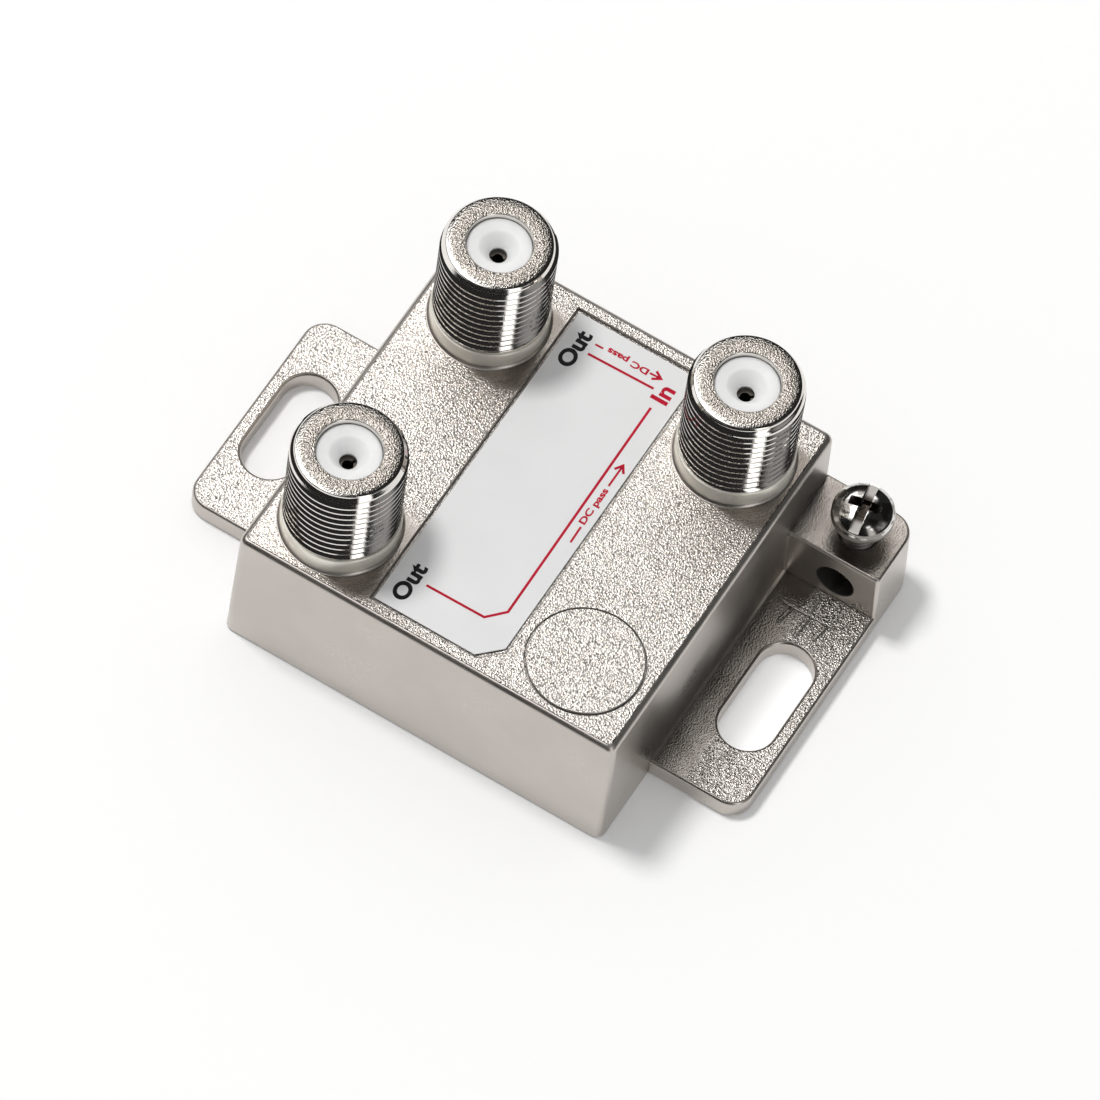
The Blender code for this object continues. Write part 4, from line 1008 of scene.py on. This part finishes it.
def recessShade(tree, place, shader, base):
    # the drive recess, below the head's dome, is stamped dull (rougher) and painted darker as shade, darkest in
    # its middle
    s = screw
    parts = vectorParts(tree, place)
    x, y, z = [mathNode(tree, "SUBTRACT", parts[axis], s[key] * mm)
               for axis, key in (("X", "x"), ("Y", "y"), ("Z", "seat"))]
    square = squareSum(tree, x, y)
    share = mathNode(tree, "DIVIDE", square, (s["headRadius"] * mm) ** 2)
    inDisc = mathNode(tree, "SUBTRACT", 1.0, share, clamp=True)
    rise = (s["headHeight"] - s["headSide"]) * mm
    dome = mathNode(tree, "MULTIPLY_ADD", mathNode(tree, "SQRT", inDisc), rise, s["headSide"] * mm)
    recess = mapRange(tree, mathNode(tree, "SUBTRACT", dome, z), *[depth * mm for depth in s["recessFade"]])
    middle = mapRange(tree, mathNode(tree, "SQRT", square), *[reach * mm for reach in s["grimeReach"]], 1.0, 0.0)
    haze = placeGroup(tree, grainGroup, vector=place, grainSize=s["hazeGrain"], cloudSize=s["hazeCloud"])
    patch = product(tree, mapRange(tree, haze["Cloud"], *s["hazeRange"]), s["hazeShare"])
    base = mixColour(tree, patch, base, opaque(s["hazeColour"]))
    base = mixColour(tree, recess, base, opaque(s["recessColour"]))
    rough = mathNode(tree, "MULTIPLY_ADD", haze["Cloud"], s["spread"], s["roughness"])
    tree.links.new(mixValue(tree, recess, rough, s["recessRoughness"]), shader.inputs["Roughness"])
    return mixColour(tree, product(tree, recess, middle), base, opaque(s["grimeColour"]))


brightScrew = makeGrained("brightScrew", screw["colour"], 0.08, 1.0, grainSize=0.25, cloudSize=1.0, depth=0.0012,
                          darker=0.85, wearColour=(0.9, 0.89, 0.88), bands=recessShade)


def driveCutters():
    # a slot across the whole head, and a cross recess that narrows towards its floor
    s = screw
    half = s["slotWidth"] / 2
    reach = s["headRadius"] * s["slotReach"]
    deep = s["headHeight"] - s["wellDepth"]
    high = s["headHeight"] * s["cutTop"]
    slot = [(-half, -reach), (half, -reach), (half, reach), (-half, reach)]
    narrow = [(x * s["slotTaper"], y) for x, y in slot]
    floor = s["headHeight"] - s["slotDepth"]
    cutters = [toObject("driveSlot", stacked([(narrow, floor), (slot, s["headHeight"] * s["slotTop"])]))]
    wing = roundedOutline((-s["wingSpan"] / 2, -half), (s["wingSpan"] / 2, half), [s["wingCorner"]] * 4, steps=2)
    low, wide = [[(x * alongX, y * alongY) for x, y in wing] for alongX, alongY in (s["wingLow"], s["wingHigh"])]
    for turn in (0, 90):
        cutters.append(toObject(f"driveWing{turn}", swung(stacked([(low, deep), (wide, high)]), "Z", turn)))
    side = half * s["coreWiden"]
    core = roundedOutline((-side, -side), (side, side), [s["coreCorner"]] * 4, steps=3)
    lowCore = [(x * 0.5, y * 0.5) for x, y in core]
    well = stacked([(lowCore, deep - s["coreDeeper"]), (core, high)])
    cutters.append(toObject("driveCore", swung(well, "Z", 45)))
    return cutters


def makeHead():
    s = screw
    profile = [(0, 0.001)] + [(s["headRadius"] - inset, z) for inset, z in s["headFoot"]]
    steps = s["headSteps"]
    for step in range(steps + 1):
        radius = s["headRadius"] * math.cos(math.radians(90 * step / steps)) if step < steps else 0
        profile.append((radius, domeZ(radius)))
    head = combine(toObject("screwHead", turned(profile, s["facets"])), "DIFFERENCE", driveCutters())
    soften = head.modifiers.new("soften", "BEVEL")
    soften.width = s["softEdge"]
    soften.segments = 2
    soften.limit_method = "ANGLE"
    soften.angle_limit = math.radians(s["softDegrees"])
    settle(head)
    bm = bmesh.new()
    bm.from_mesh(head.data)
    bpy.data.objects.remove(head)
    return bm


def makeScrew():
    s = screw
    chamfer = s["tipChamfer"]
    thread = threadMesh(
        "screwThread", brightScrew, facets=s["facets"], rowsPerTurn=s["rowsPerTurn"], pitch=s["pitch"],
        crestRadius=s["radius"], rootRadius=s["rootRadius"], bottom=-s["neck"], top=s["length"],
        chamferWidth=chamfer, chamferHeight=chamfer, runOut=s["runOut"])
    tip = turned([(s["radius"] - chamfer, s["length"]), (0, s["length"])], s["facets"])
    shank = joined(thread, tip, turned([(0, -s["neck"]), (s["radius"], -s["neck"])], s["facets"]))
    whole = swung(joined(swung(shank, "X", 180), makeHead()), "Z", s["turnDegrees"])
    obj = toObject("clampScrew", shifted(whole, s["x"], s["y"], s["seat"]))
    return finishPiece(obj, brightScrew, "clamp_screw", ["earth_screw"], creaseDegrees=40)


makeScrew()
print("earth screw made")


# label and its print
printing = {
    "rise": 0.012, "sink": 0.004,   # the ink stands a little above the film and starts a little inside it
    "lineWidth": 0.22, "thinLine": 0.18, "sharpestMitre": 0.3, "letterSteps": 6,
    "tracks": (((-2.78, -12.57), (2.55, -12.5), (3.88, -11.05), (3.71, 11.35)), ((-3.1, 12.85), (2.98, 13.0))),
    "dashes": (((4.74, -2.87), (4.70, -1.2)), ((4.61, 3.25), (4.61, 5.3)), ((-3.05, 13.93), (-2.31, 13.95)),
               ((1.98, 14.08), (2.8, 14.11))),
    "heads": (((4.61, 5.52), (0, 1)), ((3.02, 14.11), (1, 0))),
    "headLength": 0.66, "headHalf": 0.42, "headWiden": 1.2,
    # words: text, low corner of the first letter, turn, length, height, weight
    "black": (("Out", (-3.36, -14.9), 90, 3.7, 1.5, 0.075), ("Out", (-3.52, 10.8), 90, 3.7, 1.5, 0.075)),
    "red": (("In", (4.66, 12.14), 90, 1.62, 1.54, 0.06), ("DC pass", (5.04, -0.9), 90, 3.8, 0.78, 0.07),
            ("DC pass", (1.85, 14.52), 180, 3.8, 0.80, 0.07)),
}


def makeLabel():
    foot = label["footSoft"]
    top = label["topSoft"]
    sections = [(labelOutline(-foot), label["bottom"]), (labelOutline(0), label["bottom"] + foot),
                (labelOutline(0), label["top"] - top), (labelOutline(-top), label["top"])]
    obj = toObject("labelSheet", stacked(sections))
    return finishPiece(obj, labelFilm, "tap_body", ["label"])


def inkStrip(points, width):
    # a flat line of ink with mitred corners
    low = label["top"] - printing["sink"]
    high = label["top"] + printing["rise"]
    spots = [Vector(point) for point in points]
    sides = []
    for index, spot in enumerate(spots):
        before = (spot - spots[index - 1]).normalized() if index else (spots[1] - spot).normalized()
        after = (spots[index + 1] - spot).normalized() if index + 1 < len(spots) else before
        mitre = (before + after).normalized()
        normal = Vector((-mitre.y, mitre.x))
        reach = width / 2 / max(normal.dot(Vector((-after.y, after.x))), printing["sharpestMitre"])
        sides.append((spot + normal * reach, spot - normal * reach))
    outline = [tuple(a) for a, b in sides] + [tuple(b) for a, b in reversed(sides)]
    return stacked([(outline, low), (outline, high)])


def arrowHead(tip, heading):
    along = Vector(heading)
    across = Vector((-along.y, along.x)) * printing["headHalf"]
    back = Vector(tip) - along * printing["headLength"]
    return inkStrip([back - across, tip, back + across], printing["thinLine"] * printing["headWiden"])


def inkWord(text, corner, turnDegrees, length, height, weight):
    # drawn along +X from its low corner, then turned and put in its place
    curve = bpy.data.curves.new("word", "FONT")
    curve.body = text
    curve.size = 2.0
    curve.offset = weight
    curve.extrude = 0.5
    curve.resolution_u = printing["letterSteps"]
    holder = bpy.data.objects.new("word", curve)
    bpy.context.scene.collection.objects.link(holder)
    mesh = bpy.data.meshes.new_from_object(holder.evaluated_get(bpy.context.evaluated_depsgraph_get()))
    bpy.data.objects.remove(holder)
    bm = bmesh.new()
    bm.from_mesh(mesh)
    bpy.data.meshes.remove(mesh)
    lows = [min(v.co[axis] for v in bm.verts) for axis in (0, 1)]
    spans = [max(v.co[axis] for v in bm.verts) - lows[axis] for axis in (0, 1)]
    for v in bm.verts:
        z = label["top"] + (printing["rise"] if v.co.z > 0 else -printing["sink"])
        v.co = ((v.co.x - lows[0]) / spans[0] * length, (v.co.y - lows[1]) / spans[1] * height, z)
    swung(bm, "Z", turnDegrees)
    return shifted(bm, *corner)


def makePrint():
    red = [inkStrip(track, printing["lineWidth"]) for track in printing["tracks"]]
    red += [inkStrip(dash, printing["thinLine"]) for dash in printing["dashes"]]
    red += [arrowHead(*head) for head in printing["heads"]]
    red += [inkWord(*word) for word in printing["red"]]
    finishPiece(toObject("labelRedPrint", joined(*red)), redInk, "tap_body")
    black = [inkWord(*word) for word in printing["black"]]
    finishPiece(toObject("labelBlackPrint", joined(*black)), blackInk, "tap_body")


makeLabel()
makePrint()
print("label made")


# solids that keep their own shape
def endCaps(middle, along, reach, capColour):
    # tinned metal ends, past a reach from the middle
    def paint(tree, place, shader, base):
        cap = placeGroup(tree, capGroup, vector=place, middle=[c * mm for c in middle], along=along,
                         reach=reach * mm)["Cap"]
        tree.links.new(cap, shader.inputs["Metallic"])
        return mixColour(tree, cap, base, opaque(capColour))
    return paint


board = {"tracksPerMm": 0.22, "trackEdge": (0.36, 0.40), "trackShare": 0.55, "trackColour": (0.16, 0.42, 0.20)}


def boardTracks(tree, place, shader, base):
    # copper lands and tracks under the solder mask
    scaled = tree.nodes.new("ShaderNodeMapping")
    scaled.inputs["Scale"].default_value = (1 / mm, 1 / mm, 1 / mm)
    tree.links.new(place, scaled.inputs["Vector"])
    cells = tree.nodes.new("ShaderNodeTexVoronoi")
    cells.distance = "CHEBYCHEV"
    cells.feature = "F1"
    cells.inputs["Scale"].default_value = board["tracksPerMm"]
    tree.links.new(scaled.outputs[0], cells.inputs["Vector"])
    track = mapRange(tree, cells.outputs["Distance"], *board["trackEdge"])
    return mixColour(tree, product(tree, track, board["trackShare"]), base, opaque(board["trackColour"]))


tin = (0.72, 0.71, 0.69)
capReach = 1.1
copperWire = dict(colour=(0.62, 0.20, 0.07), roughness=0.28, metallic=1.0, grainSize=0.15)
ferrite = dict(colour=(0.08, 0.078, 0.08), roughness=0.6, grainSize=0.18, depth=0.01)
chipBody = dict(colour=(0.52, 0.37, 0.23), roughness=0.5)
solids = {
    "rear_cover": dict(colour=(0.66, 0.65, 0.635), roughness=0.26, metallic=1.0, grainSize=0.5, cloudSize=5.0,
                       depth=0.003, darker=0.86, wearColour=(0.85, 0.84, 0.83)),
    "circuit_board": dict(colour=(0.055, 0.25, 0.11), roughness=0.38, grainSize=0.4, cloudSize=4.0,
                          bands=boardTracks),
    "splitter_core": dict(ferrite, colour=(0.075, 0.075, 0.08), wearColour=(0.2, 0.2, 0.2)),
    "matching_core": dict(ferrite, wearColour=(0.2, 0.2, 0.2)),
    "splitter_winding": copperWire,
    "matching_winding": copperWire,
    "output_a_capacitor": dict(chipBody, bands=endCaps((-11.5, 6.8, 0), (0, 1, 0), capReach, tin)),
    "output_b_capacitor": dict(chipBody, bands=endCaps((-11.5, -6.8, 0), (0, 1, 0), capReach, tin)),
    "input_capacitor": dict(chipBody, bands=endCaps((11.5, 6.8, 0), (0, 1, 0), capReach, tin)),
    "balance_resistor": dict(colour=(0.04, 0.04, 0.045), roughness=0.42,
                             bands=endCaps((-11.2, 0, 0), (0, 1, 0), capReach, tin)),
}
for end in ("a", "b"):
    solids[f"choke_{end}_core"] = ferrite
    solids[f"choke_{end}_coil"] = copperWire
    solids[f"diode_{end}"] = dict(colour=(0.55, 0.17, 0.08), roughness=0.14,
                                  bands=endCaps((-4.6, 0, 0), (1, 0, 0), 1.25, tin))
for end in ("output_a", "output_b", "input"):
    # the pin contacts are coloured near black, a painted shade for the pin holes they sit in
    solids[f"{end}_contact"] = dict(colour=(0.16, 0.145, 0.125), roughness=0.36, metallic=1.0, grainSize=0.15,
                                    wearColour=(0.4, 0.36, 0.30))

for name, look in solids.items():
    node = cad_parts[name]
    node.data.materials.clear()
    node.data.materials.append(makeGrained(name.replace("_", " ").title().replace(" ", ""), **look))
print("solids finished")


# camera
camera = {
    "place": (173.67, -399.88, 760.57),   # mm
    "right": (0.85328, 0.51546, 0.07883), "down": (0.48266, -0.72352, -0.49351),
    "ahead": (-0.19735, 0.45915, -0.86616),
    "lens": 355.16, "sensor": 36.0, "shiftY": -0.0043, "nearest": 0.02, "farthest": 20.0,
}


def makeCamera():
    data = bpy.data.cameras.new("photoView")
    data.lens = camera["lens"]
    data.sensor_width = camera["sensor"]
    data.shift_y = camera["shiftY"]
    data.clip_start = camera["nearest"]
    data.clip_end = camera["farthest"]
    obj = bpy.data.objects.new("photoView", data)
    bpy.context.scene.collection.objects.link(obj)
    axes = Matrix((Vector(camera["right"]), -Vector(camera["down"]), -Vector(camera["ahead"])))
    turn = axes.transposed().to_4x4()
    obj.matrix_world = Matrix.Translation(Vector(camera["place"]) * mm) @ turn
    bpy.context.scene.camera = obj


makeCamera()


# floor, sky and lamps
floorLook = {
    "half": 3.0, "drop": 0.05 * mm, "colour": (0.90, 0.90, 0.90), "roughness": 0.9, "lift": 0.135,
    "clearReach": 0.3 * mm,   # clear for shorter rays, so that what stands on the floor gets light from below
    # the floor seen through the right ear's slot is lit a little more
    "slotX": (20.2 * mm, 24.9 * mm), "slotY": (-5.3 * mm, 5.3 * mm), "slotSoft": 1.0 * mm, "slotLift": 0.30,
}
skyLook = {   # places in the sky are slopes from straight up, bearings are in degrees from +X
    "fill": 0.45, "dark": 0.02, "horizon": 0.02, "belowFrom": -0.05, "belowLevel": 0.55,
    "softboxX": (-1.15, -0.03), "softboxY": (-0.30, 1.4), "softboxEdge": 0.12, "softboxLevel": 1.95,
    "hotSpot": (-0.42, 0.05), "hotRadius": 0.2, "hotSoft": 0.14, "hotLevel": 6.0,
    "stripBearing": -31.0, "stripHalf": 10.0, "stripSoft": 3.0, "stripTop": (0.86, 0.93), "stripLevel": 1.6,
    "sideBearing": (-12.0, 22.0), "sideSoft": 8.0, "sideUp": (0.3, 0.78), "sideUpSoft": 0.08, "sideLevel": 0.28,
}
lamps = {
    "key": {"place": (-0.54, 0.02, 1.44), "size": 0.32, "power": 13.0, "colour": (1, 0.995, 0.985)},
}


def lightPath(tree, *kinds):
    path = tree.nodes.new("ShaderNodeLightPath")
    return chained(tree, "MAXIMUM", *[path.outputs[kind] for kind in kinds])


def makeFloor():
    look = floorLook
    half = look["half"]
    drop = look["drop"]
    mesh = bpy.data.meshes.new("floor")
    mesh.from_pydata([(-half, -half, -drop), (half, -half, -drop), (half, half, -drop), (-half, half, -drop)], [],
                     [(0, 1, 2, 3)])
    floor = bpy.data.objects.new("floor", mesh)
    bpy.context.scene.collection.objects.link(floor)
    material, tree, shader, place = newFinish("paleFloor", look["colour"], look["roughness"])
    shader.inputs["Specular IOR Level"].default_value = 0.0
    shader.inputs["Emission Color"].default_value = (1, 1, 1, 1)
    seen = lightPath(tree, "Is Camera Ray", "Is Glossy Ray", "Is Transmission Ray")
    spot = vectorParts(tree, place)
    inSlot = product(tree, between(tree, spot["X"], *look["slotX"], look["slotSoft"]),
                     between(tree, spot["Y"], *look["slotY"], look["slotSoft"]))
    lift = mathNode(tree, "MULTIPLY_ADD", inSlot, look["slotLift"], look["lift"])
    tree.links.new(product(tree, seen, lift), shader.inputs["Emission Strength"])
    # the floor is clear from below, and clear to what stands on it
    through = tree.nodes.new("ShaderNodeBsdfTransparent")
    both = tree.nodes.new("ShaderNodeMixShader")
    path = tree.nodes.new("ShaderNodeLightPath")
    near = mathNode(tree, "LESS_THAN", path.outputs["Ray Length"], look["clearReach"])
    behind = tree.nodes.new("ShaderNodeNewGeometry").outputs["Backfacing"]
    tree.links.new(mathNode(tree, "MAXIMUM", behind, near), both.inputs[0])
    tree.links.new(shader.outputs[0], both.inputs[1])
    tree.links.new(through.outputs[0], both.inputs[2])
    tree.links.new(both.outputs[0], tree.nodes["Material Output"].inputs["Surface"])
    mesh.materials.append(material)


def makeSky():
    # Reflections see a softbox overhead with a hot middle, an upright strip and a grey side in a dark room.
    # The camera sees white, and everything else gets an even fill.
    look = skyLook
    world = bpy.data.worlds.new("studio")
    bpy.context.scene.world = world
    world.use_nodes = True
    tree = world.node_tree
    background = tree.nodes["Background"]
    parts = vectorParts(tree, tree.nodes.new("ShaderNodeTexCoord").outputs["Generated"])
    up = parts["Z"]
    height = mathNode(tree, "MAXIMUM", up, look["horizon"])
    slopeX = mathNode(tree, "DIVIDE", parts["X"], height)
    slopeY = mathNode(tree, "DIVIDE", parts["Y"], height)
    softbox = product(tree, between(tree, slopeX, *look["softboxX"], look["softboxEdge"]),
                      between(tree, slopeY, *look["softboxY"], look["softboxEdge"]), look["softboxLevel"])
    hotX, hotY = look["hotSpot"]
    off = squareSum(tree, mathNode(tree, "SUBTRACT", slopeX, hotX), mathNode(tree, "SUBTRACT", slopeY, hotY))
    hot = mapRange(tree, mathNode(tree, "SQRT", off), look["hotRadius"], look["hotRadius"] + look["hotSoft"],
                   look["hotLevel"], 0.0)
    below = mapRange(tree, up, look["belowFrom"], 0.0, look["belowLevel"], 0.0)
    bearing = mathNode(tree, "ARCTAN2", parts["Y"], parts["X"])
    aside = mathNode(tree, "ABSOLUTE", mathNode(tree, "SUBTRACT", bearing, math.radians(look["stripBearing"])))
    reach = math.radians(look["stripHalf"])
    soft = math.radians(look["stripSoft"])
    strip = product(tree, mapRange(tree, aside, reach - soft, reach + soft, look["stripLevel"], 0.0),
                    mapRange(tree, up, *look["stripTop"], 1.0, 0.0))
    fromBearing, toBearing = [math.radians(degrees) for degrees in look["sideBearing"]]
    side = product(tree, between(tree, bearing, fromBearing, toBearing, math.radians(look["sideSoft"])),
                   between(tree, up, *look["sideUp"], look["sideUpSoft"]), look["sideLevel"])
    level = chained(tree, "MAXIMUM", softbox, hot, below, strip, side, look["dark"])
    level = mixValue(tree, lightPath(tree, "Is Glossy Ray"), look["fill"], level)
    level = mixValue(tree, lightPath(tree, "Is Camera Ray", "Is Transmission Ray"), level, 1.0)
    tree.links.new(level, background.inputs["Strength"])
    background.inputs["Color"].default_value = (1, 1, 1, 1)


def makeLamps():
    for name, lamp in lamps.items():
        data = bpy.data.lights.new(name, "AREA")
        data.shape = "DISK"
        data.size = lamp["size"]
        data.energy = lamp["power"]
        data.color = lamp["colour"]
        obj = bpy.data.objects.new(name, data)
        bpy.context.scene.collection.objects.link(obj)
        obj.location = lamp["place"]
        obj.rotation_euler = (-Vector(lamp["place"])).to_track_quat("-Z", "Y").to_euler()
        obj.visible_camera = False
        obj.visible_glossy = False


makeFloor()
makeSky()
makeLamps()
bpy.context.scene.view_settings.view_transform = "Standard"
print("stage made")
